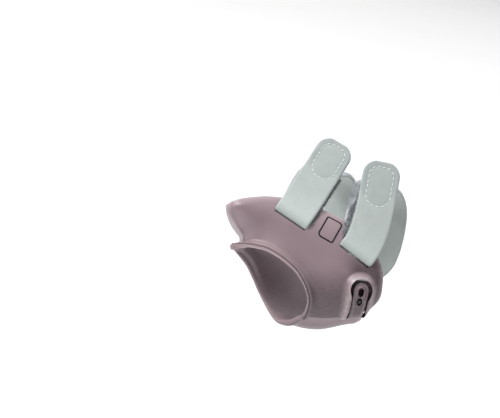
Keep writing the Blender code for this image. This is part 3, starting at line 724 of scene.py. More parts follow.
def hook_material():
    s = Shader("hook_nylon")
    grain = s.noise(1500.0, 2.0)
    colour = s.mix(grain, linear(142, 148, 145), linear(170, 177, 173))
    return s.finish(colour, s.ramp(grain, 0.38, 0.55), s.bump(grain, 0.2, 0.0001))


def peg_shade_material():
    s = Shader("peg_plastic_shade")
    grain = s.noise(1800.0, 2.0)
    scuff = s.noise(500.0, 3.0)
    # Painted shade: the peg is the shell's plastic, coloured far darker as the shade it sits in
    colour = s.mix(s.ramp(scuff, 0.0, 1.0, 0.45, 0.7), linear(42, 35, 38), linear(70, 60, 63))
    return s.finish(colour, s.ramp(grain, 0.32, 0.5), s.bump(grain, 0.15, 0.0001))


# Shell

def mound_line(place):
    """Point on the mound's middle line, a distance below the centre of its round top."""
    fine = press(by_row(MOUND_LINE, np.linspace(0, len(MOUND_LINE) - 1, 60))*SIZES, SHELL_TOP)
    steps = np.linalg.norm(np.diff(fine, axis=0), axis=1)
    run = np.append(0.0, np.cumsum(steps))
    place = np.atleast_1d(place)
    on_line = np.stack([np.interp(place, run, fine[:, k]) for k in range(3)], -1)
    beyond = np.minimum(place, 0)[:, None]*unit(fine[3] - fine[0])
    return on_line + beyond


def mound_point(place, aside):
    """Point on the guide beside the mound's middle line."""
    step = 0.0004
    middle = mound_line(place)
    down = unit(mound_line(np.asarray(place) + step) - mound_line(np.asarray(place) - step))
    side = unit(np.cross(down, guide_normal(middle)))
    return press(middle + np.atleast_1d(aside)[:, None]*side, SHELL_TOP)


def mound_distance(points):
    """Distance to the mound's middle line, and the nearest place down that line."""
    places = np.linspace(0, MOUND_LONG, 120)
    far = np.full(points.shape[:-1], 1.0)
    place = np.zeros(points.shape[:-1])
    for at, p in zip(places, mound_line(places)):
        here = np.linalg.norm(points - p, axis=-1)
        place = np.where(here < far, at, place)
        far = np.minimum(far, here)
    return far, place


def rib_share(far, place, half):
    """1 on the crest of the ribs beside the spring tab: a bell curve across them."""
    window = smooth_step((place - RIB_START)/RIB_FADE)*smooth_step((RIB_END - place)/RIB_FADE)
    return bell(far, RIB_ASIDE, half)*window


def mound_rise(points):
    """Rise of the horseshoe mound: a smooth step of the distance to its middle line, less where
    the spring tab lies, with a rib down each side of the tab and a ring round the eyelet."""
    far, place = mound_distance(points)
    mound = MOUND_RISE*smooth_step((MOUND_RADIUS - far)/MOUND_SLOPE)
    tab = smooth_step((TAB_HALF_WIDE + TAB_SLOT_WIDE - far)/TAB_SLOT_WIDE)
    rise = mound - tab*(MOUND_RISE - TAB_RISE)
    rib = RIB_RISE*rib_share(far, place, RIB_HALF)
    half = EYELET_WIDE/2
    low, high = EYELET_MIDDLE - EYELET_LONG/2 + half, EYELET_MIDDLE + EYELET_LONG/2 - half
    core = mound_line(np.linspace(low, high, 12))
    near = np.min(np.linalg.norm(points[..., None, :] - core, axis=-1), axis=-1)
    ring = RING_RISE*bell(near - half, RING_HALF, RING_HALF)
    return rise + np.maximum(rib, ring)


def shell_grid():
    """The shell's strip as a grid of points, row by row from the wing's lower end to the tongue
    and column by column from rim to edge, pressed to the guide, with each point's distances
    from the rim and the edge. Columns crowd at both sides, at listed distances."""
    spans = ((0, 5, 34), (5, 7, 22), (7, 11, 14), (11, 14, 16), (14, 22, 9), (22, 24, 14))
    rows = np.concatenate([np.linspace(a, b, (b - a)*n, endpoint=False) for a, b, n in spans])
    rows = np.concatenate([rows[:1], [0.012, 0.026], rows[1:], [23.93, 23.975, 24.0]])
    values = by_row(SHELL_STRIP, rows)
    rim = values[:, :3]*SIZES
    edge = values[:, 3:6]*SIZES
    end = (rows - STRIP_TONGUE_ROW)/(len(SHELL_STRIP) - 1 - STRIP_TONGUE_ROW)
    narrow = 0.42*(1 - np.sqrt(1 - 0.97*np.clip(end, 0, 1)**2))
    middle = (rim + edge)/2
    rim = rim + narrow[:, None]*(middle - rim)
    edge = edge + narrow[:, None]*(middle - edge)
    wide = np.linalg.norm(edge - rim, axis=1)[:, None]
    near_rim = np.array([0, 0.02, 0.08, 0.18, 0.32, 0.50, 0.70, 0.85, 0.98, 1.1, 1.22, 1.35, 1.5,
                         1.75, 2.0, 2.3, 2.6, 3.0, 3.4, 3.9, 4.5])
    near_edge = np.array([4.2, 3.4, 2.7, 2.1, 1.6, 1.1, 0.74, 0.45, 0.24, 0.10, 0.03, 0])
    from_rim = near_rim[None]*0.001/wide
    from_edge = 1 - near_edge[None]*0.001/wide
    between = np.linspace(0, 1, 62)[None, 1:-1]
    between = from_rim[:, -1:] + between*(from_edge[:, :1] - from_rim[:, -1:])
    share = np.concatenate([from_rim, between, from_edge], axis=1)
    points = rim[:, None] + share[..., None]*(edge - rim)[:, None]
    points = press(points, SHELL_TOP)
    steps = np.linalg.norm(np.diff(points, axis=1), axis=2)
    to_rim = np.concatenate([np.zeros((len(rows), 1)), np.cumsum(steps, axis=1)], axis=1)
    to_edge = to_rim[:, -1:] - to_rim
    return points, rows, to_rim, to_edge, values[:, 6:7], values[:, 7:8]


def off_borders(to_rim, to_edge, fade):
    """0 on the rim's bead and at the edge, 1 between them."""
    return smooth_step((to_rim - 0.0035)/0.003)*smooth_step(to_edge/fade)


def shell_levels(points, rows, to_rim, to_edge, over, tuck):
    """Middle level and thickness of the wall: lining gap, mound and flange, then the bead,
    groove, ridge and crease, tapered towards the edge and rounded along every border."""
    lining = SHELL_LINING_GAP + over*(OVER_LINING_GAP - SHELL_LINING_GAP)
    lining = lining + tuck*(TONGUE_LINING_GAP - lining)
    wall = SHELL_WALL + tuck*(TONGUE_WALL - SHELL_WALL)
    wing = smooth_step((STRIP_MOUND_ROW + 1 - rows)/1.0)[:, None]
    at_web = bell(rows, STRIP_WEB_ROW, WEB_FLANGE_ROWS)[:, None]
    in_palm = bell(rows, PALM_RIM_ROW, PALM_RIM_ROWS)[:, None]
    flange = 1 - smooth_step((to_rim/FLANGE_LONG - 0.55)/0.6)
    flange = flange*(FLANGE_RISE + at_web*WEB_FLANGE_RISE)*(1 - tuck)*(1 - in_palm)
    flange = flange - in_palm*PALM_RIM_DROP*(1 - smooth_step(to_rim/PALM_RIM_REACH))
    fade = MOUND_END_SHARE + (1 - MOUND_END_SHARE)*smooth_step(rows/MOUND_END_ROWS)[:, None]
    inner = lining + wing*fade*mound_rise(points) + flange
    row_ends = np.minimum(rows - rows[0], rows[-1] - rows)[:, None]*0.007
    taper = smooth_step(np.minimum(to_edge, row_ends + 0.0006)/EDGE_TAPER_LONG)
    thick = wall*(EDGE_TAPER_SHARE + (1 - EDGE_TAPER_SHARE)*taper)
    bead = BEAD_RISE*bell(to_rim, BEAD_PLACE, BEAD_HALF)
    bead = bead - GROOVE_DEEP*bell(to_rim, GROOVE_PLACE, GROOVE_HALF)
    thick = thick + bead*(1 - tuck)
    crease = RIDGE_RISE*bell(rows, RIDGE_ROW, RIDGE_HALF)
    crease = crease - CREASE_DEEP*bell(rows, CREASE_ROW, CREASE_HALF)
    thick = thick + crease[:, None]*off_borders(to_rim, to_edge, 0.004)
    middle = inner + thick/2
    border = np.minimum(round_edge(to_rim, EDGE_ROUND), round_edge(to_edge, EDGE_ROUND*0.7))
    thick = thick*np.maximum(np.minimum(border, round_edge(row_ends, END_ROUND)), 0.02)
    return middle, thick


def place_on_wing(place):
    """A place's origin on the guide, and its across, upward and outward directions."""
    along, turn, slant = place
    origin = round_hand(along, turn, SHELL_TOP)[0]
    out = guide_normal(origin)
    level = unit(np.array([1.0, 0, 0]) - out*out[0])
    upward = np.cross(out, level)
    slant = math.radians(slant)
    across = math.cos(slant)*level - math.sin(slant)*upward
    return origin, across, np.cross(out, across), out


def bar(left, right, low, high, closed=False, lean=0.0):
    """Closed bar between two lines on the guide surface, from one level to another. The right
    line may lean over towards its lower level. Open ends are closed by a quad each."""
    corners = [press(left, low), press(left, high), press(right, high), press(right + lean, low)]
    loops = np.stack(corners, axis=1)
    rows = len(loops)
    quads = ring_faces(rows, 4, 0, closed)
    if not closed:
        last = (rows - 1)*4
        quads = np.concatenate([quads, [[3, 2, 1, 0]], [[last, last + 1, last + 2, last + 3]]])
    points = loops.reshape(-1, 3)
    return points, outward(points, [quads])[0]


def slot_bar(place):
    origin, across, upward, _ = place_on_wing(place)
    half = STRAP_WIDE/2 + SLOT_LOOK_SIDE
    line = origin + np.linspace(-half, half, 25)[:, None]*across
    inner = half - SLOT_LOW_CORNER
    lower = origin + np.linspace(-inner, inner, 25)[:, None]*across
    lower = lower - (SLOT_WIDE + SLOT_LOOK_LOW)*upward
    return bar(line, lower, SLOT_CUT_LOW, SLOT_CUT_HIGH, lean=SLOT_LEAN*upward)


def tab_slot_bar():
    """The upside-down U round the spring tab: wide over the tab's head, narrow along its ribs
    and wider again at the lower ends."""
    leg = np.linspace(TAB_LONG, 0, 40)[:-1]
    bend = np.linspace(0, math.pi, 41)
    side = np.concatenate([-np.ones_like(leg), -np.cos(bend), np.ones_like(leg)])
    straight = np.concatenate([leg, np.zeros_like(bend), leg[::-1]])
    head = np.concatenate([np.zeros_like(leg), np.sin(bend), np.zeros_like(leg)])
    wide = TAB_CUT_WIDE + TAB_HEAD_WIDER*smooth_step((TAB_HEAD_LONG - straight)/TAB_HEAD_LONG)
    wide = wide + TAB_ROOT_WIDER*smooth_step((straight - TAB_ROOT_PLACE)/0.003)
    near = TAB_HALF_WIDE
    lines = []
    for reach in (near + 0*wide, near + wide):
        down = np.where(straight > 0, straight, -reach*head)
        lines.append(mound_point(down, side*reach))
    return bar(lines[0], lines[1], MOUND_CUT_LOW, MOUND_CUT_HIGH)


def long_round(straight, half, least):
    """Places along a shape with two round ends and a straight part, and its half widths there."""
    turn = np.linspace(-math.pi/2, math.pi/2, 33)
    place = np.concatenate([half*np.sin(turn[:17]) - straight, half*np.sin(turn[16:]) + straight])
    wide = half*np.concatenate([np.cos(turn[:17]), np.cos(turn[16:])])
    return place, np.maximum(wide, least*half)


def eyelet_bar(low, high):
    """Cut for one of the eyelet's two parts, from one place down the tab to another."""
    half = EYELET_WIDE/2
    place, wide = long_round((high - low)/2 - half, half, 0.04)
    left = mound_point((low + high)/2 + place, -wide)
    right = mound_point((low + high)/2 + place, wide)
    return bar(left, right, MOUND_CUT_LOW, MOUND_CUT_HIGH)


def frame_bar():
    origin, across, upward, _ = place_on_wing(FRAME_PLACE)
    sides = []
    for grow in (-FRAME_LINE_WIDE/2, FRAME_LINE_WIDE/2):
        outline = []
        for quarter in range(4):
            turn = math.radians(90*quarter) + np.linspace(0, math.pi/2, 12)
            x_sign = 1 if quarter in (0, 3) else -1
            y_sign = 1 if quarter in (0, 1) else -1
            corner = FRAME_CORNER if quarter in (0, 2) else FRAME_SHARP_CORNER
            x = x_sign*(FRAME_WIDE/2 - corner) + (corner + grow)*np.cos(turn)
            y = y_sign*(FRAME_LONG/2 - corner) + (corner + grow)*np.sin(turn)
            outline.append(np.stack([x, y], -1))
        outline = np.concatenate(outline)
        points = origin + outline[:, :1]*across + outline[:, 1:]*upward
        sides.append(press(points, SHELL_TOP))
    return bar(sides[0], sides[1], SHELL_TOP - FRAME_LINE_DEEP, SHELL_TOP + 0.0010, closed=True)


def shell_marks(points, rows, to_rim, to_edge, tuck):
    """What the moulding's material reads at each point, on the outer face and on the lining: rim
    (painted highlight), paler edges with painted highlights on the mound's shoulder, ribs and web's end,
    painted shade in the groove and crease, and deep (speckled painted shade low down and beyond the
    mound)."""
    far, place = mound_distance(points)
    on_wing = smooth_step((STRIP_MOUND_ROW - rows)/2.5)[:, None]
    # Painted highlight along the rim
    rim = bell(to_rim, 0, RIM_SHINE_HALF)*(1 - tuck)
    clear = off_borders(to_rim, to_edge, 0.003)
    # Painted highlights on the web's strip past the crease and on its ridge
    strip = smooth_step((rows - WEB_STRIP_FROM)/0.15)*smooth_step((WEB_STRIP_TO - rows)/0.3)
    web = np.maximum(strip, SHINE_SHARE*bell(rows, RIDGE_ROW, SHINE_HALF))[:, None]
    # Paler edges, and the web's painted highlights
    wear_and_highlight = np.maximum(bell(to_edge, 0, EDGE_WORN),
                      clear*smooth_step((WEB_LOW_REACH - to_rim)/0.006)*web)
    # Painted highlights on the mound's shoulder and on the ribs
    shoulder = bell(far, SHOULDER_PLACE, SHOULDER_HALF)*on_wing*(1 - tuck)
    wear_and_highlight = np.maximum(wear_and_highlight, shoulder*smooth_step((to_edge - 0.002)/0.003))
    wear_and_highlight = np.maximum(wear_and_highlight, rib_share(far, place, RIB_SHINE_HALF)*on_wing*(1 - tuck))
    # Painted shade in the groove beside the rim and in the web's crease
    painted_groove_shade = bell(to_rim, GROOVE_PLACE, 1.2*GROOVE_HALF)*(1 - tuck)
    painted_groove_shade = np.maximum(painted_groove_shade, clear*bell(rows, CREASE_ROW, CREASE_HALF)[:, None])
    # Painted shade: darker beyond the mound and below a height, a little less on the lining
    beyond = smooth_step((BEYOND_REACH - to_edge)/0.008)*smooth_step((BEYOND_ROW - rows)/1.2)[:, None]
    beyond = beyond*smooth_step((far - BEYOND_MOUND)/0.002)
    painted_low_shade = LOW_SHADE*smooth_step((LOW_FROM - points[..., 2])/LOW_SPAN)
    deep = np.maximum(beyond, painted_low_shade)*(1 - tuck)
    return {"rim": [rim, rim], "wear_and_highlight": [wear_and_highlight, wear_and_highlight], "painted_groove_shade": [painted_groove_shade, 0*painted_groove_shade],
            "deep": [deep, LINING_SHADE*deep]}


def make_shell(moulding, line):
    """The shell's grid, thickened along the guide's normals, less the slots, the eyelet and the
    framing line."""
    points, rows, to_rim, to_edge, over, tuck = shell_grid()
    middle, thick = shell_levels(points, rows, to_rim, to_edge, over, tuck)
    normal = guide_normal(points)
    top = points + (middle + thick/2 - SHELL_TOP)[..., None]*normal
    under = points + (middle - thick/2 - SHELL_TOP)[..., None]*normal
    solid, faces = slab(top, under)
    faces = outward(solid, faces)
    values = shell_marks(points, rows, to_rim, to_edge, tuck)
    shell = make_object("shell_moulding", solid, faces, [moulding], values=values, sharp=0)
    top, end = EYELET_MIDDLE - EYELET_LONG/2, EYELET_MIDDLE + EYELET_LONG/2
    holes = [slot_bar(HAND_SLOT), slot_bar(WRIST_SLOT), tab_slot_bar()]
    holes.append(eyelet_bar(top, EYELET_BRIDGE - EYELET_BRIDGE_HALF))
    holes.append(eyelet_bar(EYELET_BRIDGE + EYELET_BRIDGE_HALF, end))
    # The cut faces take the dark line material: dust, and painted shade inside the slots and the framing
    # line
    for name, part, material in (("slots", join_closed(holes), line), ("line", frame_bar(), line)):
        cutter = make_object(name + "_cutter", part[0], [part[1]], [material], sharp=0)
        modifier = shell.modifiers.new(name, "BOOLEAN")
        modifier.operation = "DIFFERENCE"
        modifier.solver = "EXACT"
        modifier.material_mode = "TRANSFER"
        modifier.object = cutter
    bpy.context.view_layer.update()
    graph = bpy.context.evaluated_depsgraph_get()
    cut = bpy.data.meshes.new_from_object(shell.evaluated_get(graph))
    shell.modifiers.clear()
    shell.data = cut
    for name in ("slots_cutter", "line_cutter"):
        bpy.data.objects.remove(bpy.data.objects[name])
    cut.shade_smooth()
    cut.set_sharp_from_angle(angle=math.radians(42))
    return shell


# Straps

def leg_turn(share, leg_lean):
    """Turn of a standing leg in its own plane, most of it near the fold: lean*(1 - (1 - s)^4)."""
    return math.radians(leg_lean)*(1 - (1 - share)**4)


def strap_grid(route, place, leg_long, leg_lean):
    """The strap's middle surface in rows across it, from the sewn end round the hand, through
    the slot and up its standing leg. Gives points, normals, the share across (-1 to 1), the
    half width, the run along, and the place on the standing leg (negative before it)."""
    step = 0.0007
    fine = by_row(route, np.linspace(0, len(route) - 1, 400))
    level = STRAP_SKIN_LEVEL + np.clip(fine[:, 2], 0, 1)*(STRAP_SHELL_LEVEL - STRAP_SKIN_LEVEL)
    line = round_hand(fine[:, 0], fine[:, 1], level)
    run = np.append(0.0, np.cumsum(np.linalg.norm(np.diff(line, axis=0), axis=1)))
    wanted = np.linspace(0, run[-1], int(run[-1]/step) + 1)
    wanted = np.concatenate([[0, 0.00006, 0.0002, 0.0004], wanted[1:]])
    line = np.stack([np.interp(wanted, run, line[:, k]) for k in range(3)], -1)
    level = np.interp(wanted, run, level)
    s = np.linspace(-1, 1, 29)
    side_share = np.sign(s)*(1 - (1 - np.abs(s))**1.7)
    half = STRAP_WIDE/2
    way = unit(np.gradient(line, wanted, axis=0))
    side = unit(np.cross(guide_normal(line), way))
    around = line[:, None] + side_share[None, :, None]*half*side[:, None]
    around = press(around, level[:, None])
    normal = guide_normal(around)
    origin, across, upward, out = place_on_wing(place)
    if (side[-1] @ across) < 0:
        around = around[:, ::-1]
        normal = normal[:, ::-1]
    rod = press(origin + side_share[:, None]*half*across, LOOP_LEVEL)
    rod_out = guide_normal(rod)
    rod_up = unit(upward - (rod_out @ upward)[:, None]*rod_out)
    loop, loop_normal = [], []
    turns = np.linspace(0, math.pi, 17)
    for turn in turns:
        spoke = -math.sin(turn)*rod_up - math.cos(turn)*rod_out
        loop.append(rod + LOOP_RADIUS*spoke)
        loop_normal.append(-spoke)
    start = loop[-1]
    centre = start[len(start)//2]
    sag = start - centre - side_share[:, None]*half*across
    corner = leg_long - STRAP_CORNER
    reach = np.concatenate([
        np.arange(0.0005, corner, 0.0005),
        corner + STRAP_CORNER*np.sin(np.linspace(0, 0.5*math.pi, 24)),
    ])
    leg, leg_normal, wide = [], [], []
    before = 0.0
    for here in reach:
        lean = leg_turn((here + before)/2/leg_long, leg_lean)
        centre = centre + (here - before)*(math.cos(lean)*upward + math.sin(lean)*across)
        before = here
        lean = leg_turn(here/leg_long, leg_lean)
        aside = math.cos(lean)*across - math.sin(lean)*upward
        past = max(here - corner, 0.0)
        narrow = half - STRAP_CORNER + math.sqrt(max(STRAP_CORNER**2 - past**2, 0.0))
        leg.append(centre + side_share[:, None]*narrow*aside + sag*(1 - here/leg_long))
        leg_normal.append(np.broadcast_to(-out, leg[-1].shape))
        wide.append(narrow)
    rows = np.concatenate([around, loop, leg])
    normals = np.concatenate([normal, loop_normal, leg_normal])
    wides = np.concatenate([np.full(len(around) + len(loop), half), wide])
    runs = np.concatenate([wanted, wanted[-1] + LOOP_RADIUS*turns,
                           wanted[-1] + math.pi*LOOP_RADIUS + reach])
    on_leg = np.concatenate([wanted - wanted[-1] - math.pi*LOOP_RADIUS,
                             LOOP_RADIUS*(turns - math.pi), reach])
    return rows, normals, side_share, wides, runs, on_leg


def outline_box(leg_long):
    """Half width, middle, half height and lower corner of a leg's stitched outline."""
    half = HOOK_WIDE/2 - STITCH_INSET
    middle = leg_long - HOOK_END_MARGIN - HOOK_LONG/2
    return half, middle, HOOK_LONG/2 - STITCH_INSET + 0.0003, half - 0.0004


def outline_distance(place, aside, leg_long):
    """Signed distance from a leg's stitched outline, positive inside: a box with large corners
    at its lower end and smaller ones at the tip."""
    half, middle, tall, low_corner = outline_box(leg_long)
    corner = np.where(place > middle, OUTLINE_TIP_CORNER, low_corner)
    dx = np.abs(aside) - (half - corner)
    dy = np.abs(place - middle) - (tall - corner)
    outer = np.hypot(np.maximum(dx, 0), np.maximum(dy, 0))
    return corner - outer - np.minimum(np.maximum(dx, dy), 0)


def outline_points(leg_long, count):
    """Evenly spaced places along the stitched outline, as place up the leg and aside."""
    half, middle, tall, low_corner = outline_box(leg_long)
    path = []
    corners = (OUTLINE_TIP_CORNER, OUTLINE_TIP_CORNER, low_corner, low_corner)
    for quarter, corner in enumerate(corners):
        turn = math.radians(90*quarter) + np.linspace(0, math.pi/2, 30)
        x_sign = 1 if quarter in (0, 3) else -1
        y_sign = 1 if quarter in (0, 1) else -1
        path.append(np.stack([
            middle + y_sign*(tall - corner) + corner*np.sin(turn),
            x_sign*(half - corner) + corner*np.cos(turn),
        ], -1))
    path = np.concatenate(path + [path[0][:1]])
    run = np.append(0.0, np.cumsum(np.linalg.norm(np.diff(path, axis=0), axis=1)))
    at = np.linspace(0, run[-1], count, endpoint=False)
    step = 0.0002
    here = np.stack([np.interp(at, run, path[:, k]) for k in range(2)], -1)
    then = np.stack([np.interp((at + step) % run[-1], run, path[:, k]) for k in range(2)], -1)
    return here, unit(then - here), run[-1]


def surface_frame(grid, sign, place, aside):
    """Point, outward normal, along and across directions on one face of a strap's leg or body.
    place is the run along the strap counted from the leg's start, aside is metres across."""
    rows, normals, shares, wides, _, on_leg = grid
    i = np.clip(np.searchsorted(on_leg, place) - 1, 0, len(on_leg) - 2)
    f = np.clip((place - on_leg[i])/(on_leg[i + 1] - on_leg[i]), 0, 1)
    wide = wides[i] + f*(wides[i + 1] - wides[i])
    share = np.clip(aside/wide, -1, 1)
    j = np.clip(np.searchsorted(shares, share) - 1, 0, len(shares) - 2)
    g = ((share - shares[j])/(shares[j + 1] - shares[j]))[:, None]
    f = f[:, None]

    def at(values):
        low = values[i, j] + g*(values[i, j + 1] - values[i, j])
        high = values[i + 1, j] + g*(values[i + 1, j + 1] - values[i + 1, j])
        return low, high

    low, high = at(rows)
    normal_low, normal_high = at(normals)
    normal = unit(normal_low + f*(normal_high - normal_low))
    along = unit(high - low)
    across = unit(np.cross(along, normal))
    point = low + f*(high - low) + sign*normal*STRAP_THICK/2
    return point, sign*normal, along, across


def make_strap(name, grid, leg_long, cloth, pile):
    """The strap's middle surface thickened by a rounded section, its two faces in cloth and
    pile, pressed in a little along the stitched outline."""
    rows, normals, shares, wides, runs, on_leg = grid
    aside = shares[None]*wides[:, None]
    place = np.broadcast_to(on_leg[:, None], aside.shape)
    thin = round_edge((1 - np.abs(shares))*STRAP_WIDE/2, 0.0008)[None]
    ends = np.minimum(runs - runs[0], runs[-1] - runs)
    thin = np.maximum(np.minimum(thin, round_edge(ends, 0.0006)[:, None]), 0.03)
    inside = outline_distance(place, aside, leg_long)
    seam = np.where(place > 0, np.exp(-(inside/PUCKER_REACH)**2), 0.0)
    half = thin*STRAP_THICK/2
    top = rows + (half - PUCKER_DEEP*seam)[..., None]*normals
    under = rows - (half - PUCKER_DEEP*seam)[..., None]*normals
    solid, faces = slab(top, under)
    kinds = np.concatenate([np.full(len(faces[0]), 1), np.zeros(len(faces[1]) + len(faces[2]))])
    faces = outward(solid, faces)
    field = np.where(place > 0, smooth_step(inside/FIELD_FADE), 0.0)
    tip = smooth_step((place - leg_long + HOOK_LONG)/TIP_FADE)
    margin = np.where(place > 0, (1 - field)*tip, 0.0)
    border = bell((1 - np.abs(shares))*STRAP_WIDE/2, 0, BORDER_HALF)
    margin = np.maximum(margin, BORDER_SHARE*border[None])
    lift = np.where(place > -LIFT_BELOW, LIFT_SHARE*smooth_step((LIFT_REACH - place)/0.018), 0.0)
    flat = np.stack([aside, np.broadcast_to(runs[:, None], aside.shape)], -1).reshape(-1, 2)
    # The pile face gets a share of painted shade under its loops
    values = {"field": field, "margin": margin, "lift": lift, "pile_shade": FACE_SHADE + 0*lift}
    values = {key: np.stack([v, v]) for key, v in values.items()}
    return make_object(name, solid, faces, [cloth, pile], kinds, values, np.tile(flat, (2, 1)))


def make_stitches(name, spots, thread):
    """Short stitches as capsules bent into the cloth: each is a ring swept along a low arch,
    height*(1 - x^2), with round ends."""
    point, normal, way = (np.concatenate(part) for part in zip(*spots))
    side = unit(np.cross(normal, way))
    along = np.linspace(-1, 1, 7)
    size = np.sqrt(np.maximum(1 - along**6, 0.05))
    turn = np.linspace(0, 2*math.pi, 6, endpoint=False)
    arch = STITCH_THICK*(0.30 - 0.75*along**2)
    centre = (point[:, None] + (along*STITCH_LONG/2)[None, :, None]*way[:, None]
              + arch[None, :, None]*normal[:, None])
    radius = STITCH_THICK/2*size[None, :, None, None]
    spoke = (np.cos(turn)[None, None, :, None]*side[:, None, None]
             + np.sin(turn)[None, None, :, None]*normal[:, None, None])
    rings = (centre[:, :, None] + radius*spoke).reshape(len(point), -1, 3)
    count = rings.shape[1]
    one = ring_faces(len(along), 6)
    caps = np.array([[5, 4, 3, 2, 1, 0], [count - 6 + k for k in range(6)]])
    base = (np.arange(len(point))*count)[:, None, None]
    quads = (one[None] + base).reshape(-1, 4)
    ends = (caps[None] + base).reshape(-1, 6)
    points = rings.reshape(-1, 3)
    faces = outward(points, [quads, ends])
    return make_object(name, points, faces, [thread])


def leg_stitches(grid, leg_long):
    """Stitches round the hook patch, on both faces of the leg."""
    _, _, length = outline_points(leg_long, 4)
    count = int(length/(STITCH_LONG + STITCH_GAP))
    here, way, _ = outline_points(leg_long, count)
    rng = np.random.default_rng(3)
    here = here + STITCH_SWAY*(rng.random((count, 1)) - 0.5)*way
    way = unit(way + STITCH_TURN*(rng.random((count, 2)) - 0.5))
    spots = []
    for sign in (-1, 1):
        point, normal, along, across = surface_frame(grid, sign, here[:, 0], here[:, 1])
        run = unit(way[:, :1]*along + way[:, 1:]*across*-1)
        spots.append((point - STITCH_SINK*normal, normal, run))
    return spots


def sewn_stitches(grid):
    """A stitched rectangle that holds the strap's end to the palm wing."""
    start = grid[5][0]
    long, edge = SEWN_LONG - SEWN_MARGIN, SEWN_MARGIN
    wide = STRAP_WIDE/2 - edge
    pitch = STITCH_LONG + STITCH_GAP
    down = np.arange(edge + pitch/2, long, pitch)
    over = np.arange(-wide + pitch/2, wide, pitch)
    sides = [
        (down, np.full_like(down, wide), 0), (down, np.full_like(down, -wide), 0),
        (np.full_like(over, edge), over, 1), (np.full_like(over, long), over, 1),
    ]
    spots = []
    for place, aside, turned in sides:
        point, normal, along, across = surface_frame(grid, 1, start + place, aside)
        spots.append((point - STITCH_SINK*normal, normal, across if turned else along))
    return spots


def pile_loops(rng, grid, leg_long):
    """Loops all over the outer face, but for the slot and the stitched outline: their points,
    normals, leans, heights, spreads, shares of painted shade and widths."""
    on_leg = grid[5]
    total = on_leg[-1] - on_leg[0]
    count = int(total*STRAP_WIDE*PILE_PER_AREA)
    place = on_leg[0] + total*rng.random(count)
    aside = (rng.random(count)*2 - 1)*(STRAP_WIDE/2 - 0.0003)
    clear = (place < -PILE_UNDER_SHELL) | (place > PILE_FOLD_GAP)
    clear &= ~((place > 0) & (outline_distance(place, aside, leg_long) > -PILE_STITCH_GAP))
    past = np.maximum(place - leg_long + STRAP_CORNER, 0.0)
    room = STRAP_WIDE/2 - STRAP_CORNER + np.sqrt(np.maximum(STRAP_CORNER**2 - past**2, 0.0))
    clear &= np.abs(aside) < room - 0.0003
    clear &= ~((place < on_leg[0] + SEWN_LONG) & (rng.random(count) < SEWN_BARE))
    place, aside = place[clear], aside[clear]
    point, normal, along, across = surface_frame(grid, 1, place, aside)
    count = len(place)
    turn = rng.random(count)*2*math.pi
    lean = np.cos(turn)[:, None]*along + np.sin(turn)[:, None]*across
    tall = PILE_TALL*(0.55 + 0.6*rng.random(count))
    spread = 0.0007*(0.5 + rng.random(count))
    # Painted shade: darker on the standing leg's back, which faces the shell, and on a few loops at
    # random
    pile_shade = np.where(place > 0, 0.22, 0.0) + 0.45*(rng.random(count) < 0.09)
    return point, normal, lean, tall, spread, pile_shade, np.full(count, PILE_THICK)


def pile_fringe(rng, grid, leg_long, side, fringe_long):
    """The longer matted loops along one edge of the standing leg, in the same columns, a third of them
    dark with painted shadow.
    """
    reach = leg_long*FRINGE_SHARE
    count = int(reach*FRINGE_PER_LENGTH)
    place = 0.0004 + reach*rng.random(count)**1.25
    aside = side*(STRAP_WIDE/2 - 0.0010*rng.random(count))
    point, normal, along, across = surface_frame(grid, 1, place, aside)
    near, far = (surface_frame(grid, 1, place, 0*aside + side*d)[0] for d in (0.0, 0.001))
    outside = across*np.sign(np.einsum("ij,ij->i", across, far - near))[:, None]
    sway = (rng.random(count)*2 - 1)[:, None]
    lean = unit(outside + 0.55*sway*along)
    spread = fringe_long(place)*(0.35 + 0.75*rng.random(count))
    tall = 0.0005 + 0.0005*rng.random(count)
    # Painted shadow: a third of the fringe dark, as the shade under the leg's edge
    pile_shade = (rng.random(count) < 0.34)*0.95
    wide = np.full(count, PILE_THICK*1.5)
    return point - 0.0003*normal, normal, lean, tall, spread, pile_shade, wide


def make_pile(name, grid, leg_long, fringe_side, fringe_long, seed, pile):
    """Loop pile on a strap's outer face, as thousands of tiny arched ribbons, and a longer
    matted fringe along one edge of its standing leg. Each ribbon rises by height*sin and leans
    over by lean*x along its own random direction."""
    rng = np.random.default_rng(seed)
    loops = pile_loops(rng, grid, leg_long)
    fringe = pile_fringe(rng, grid, leg_long, fringe_side, fringe_long)
    columns = [np.concatenate(pair) for pair in zip(loops, fringe)]
    point, normal, lean, tall, spread, pile_shade, wide = columns
    x = np.linspace(0, 1, 4)
    centre = (point[:, None] + (spread[:, None]*x)[..., None]*lean[:, None]
              + (tall[:, None]*np.sin(math.pi*(0.08 + 0.84*x)))[..., None]*normal[:, None])
    thin = (wide[:, None]*np.array([1.0, 1.0, 0.9, 0.6]))[..., None]/2
    side = unit(np.cross(lean, normal) + 0.4*normal)[:, None]
    ribbon = np.stack([centre - thin*side, centre + thin*side], axis=2)
    points = ribbon.reshape(-1, 3)
    one = np.array([[0, 1, 3, 2], [2, 3, 5, 4], [4, 5, 7, 6]])
    quads = (one[None] + (np.arange(len(point))*8)[:, None, None]).reshape(-1, 4)
    # Each ribbon keeps its share of painted shade
    return make_object(name, points, [quads], [pile], values={"pile_shade": np.repeat(pile_shade, 8)}, sharp=0)


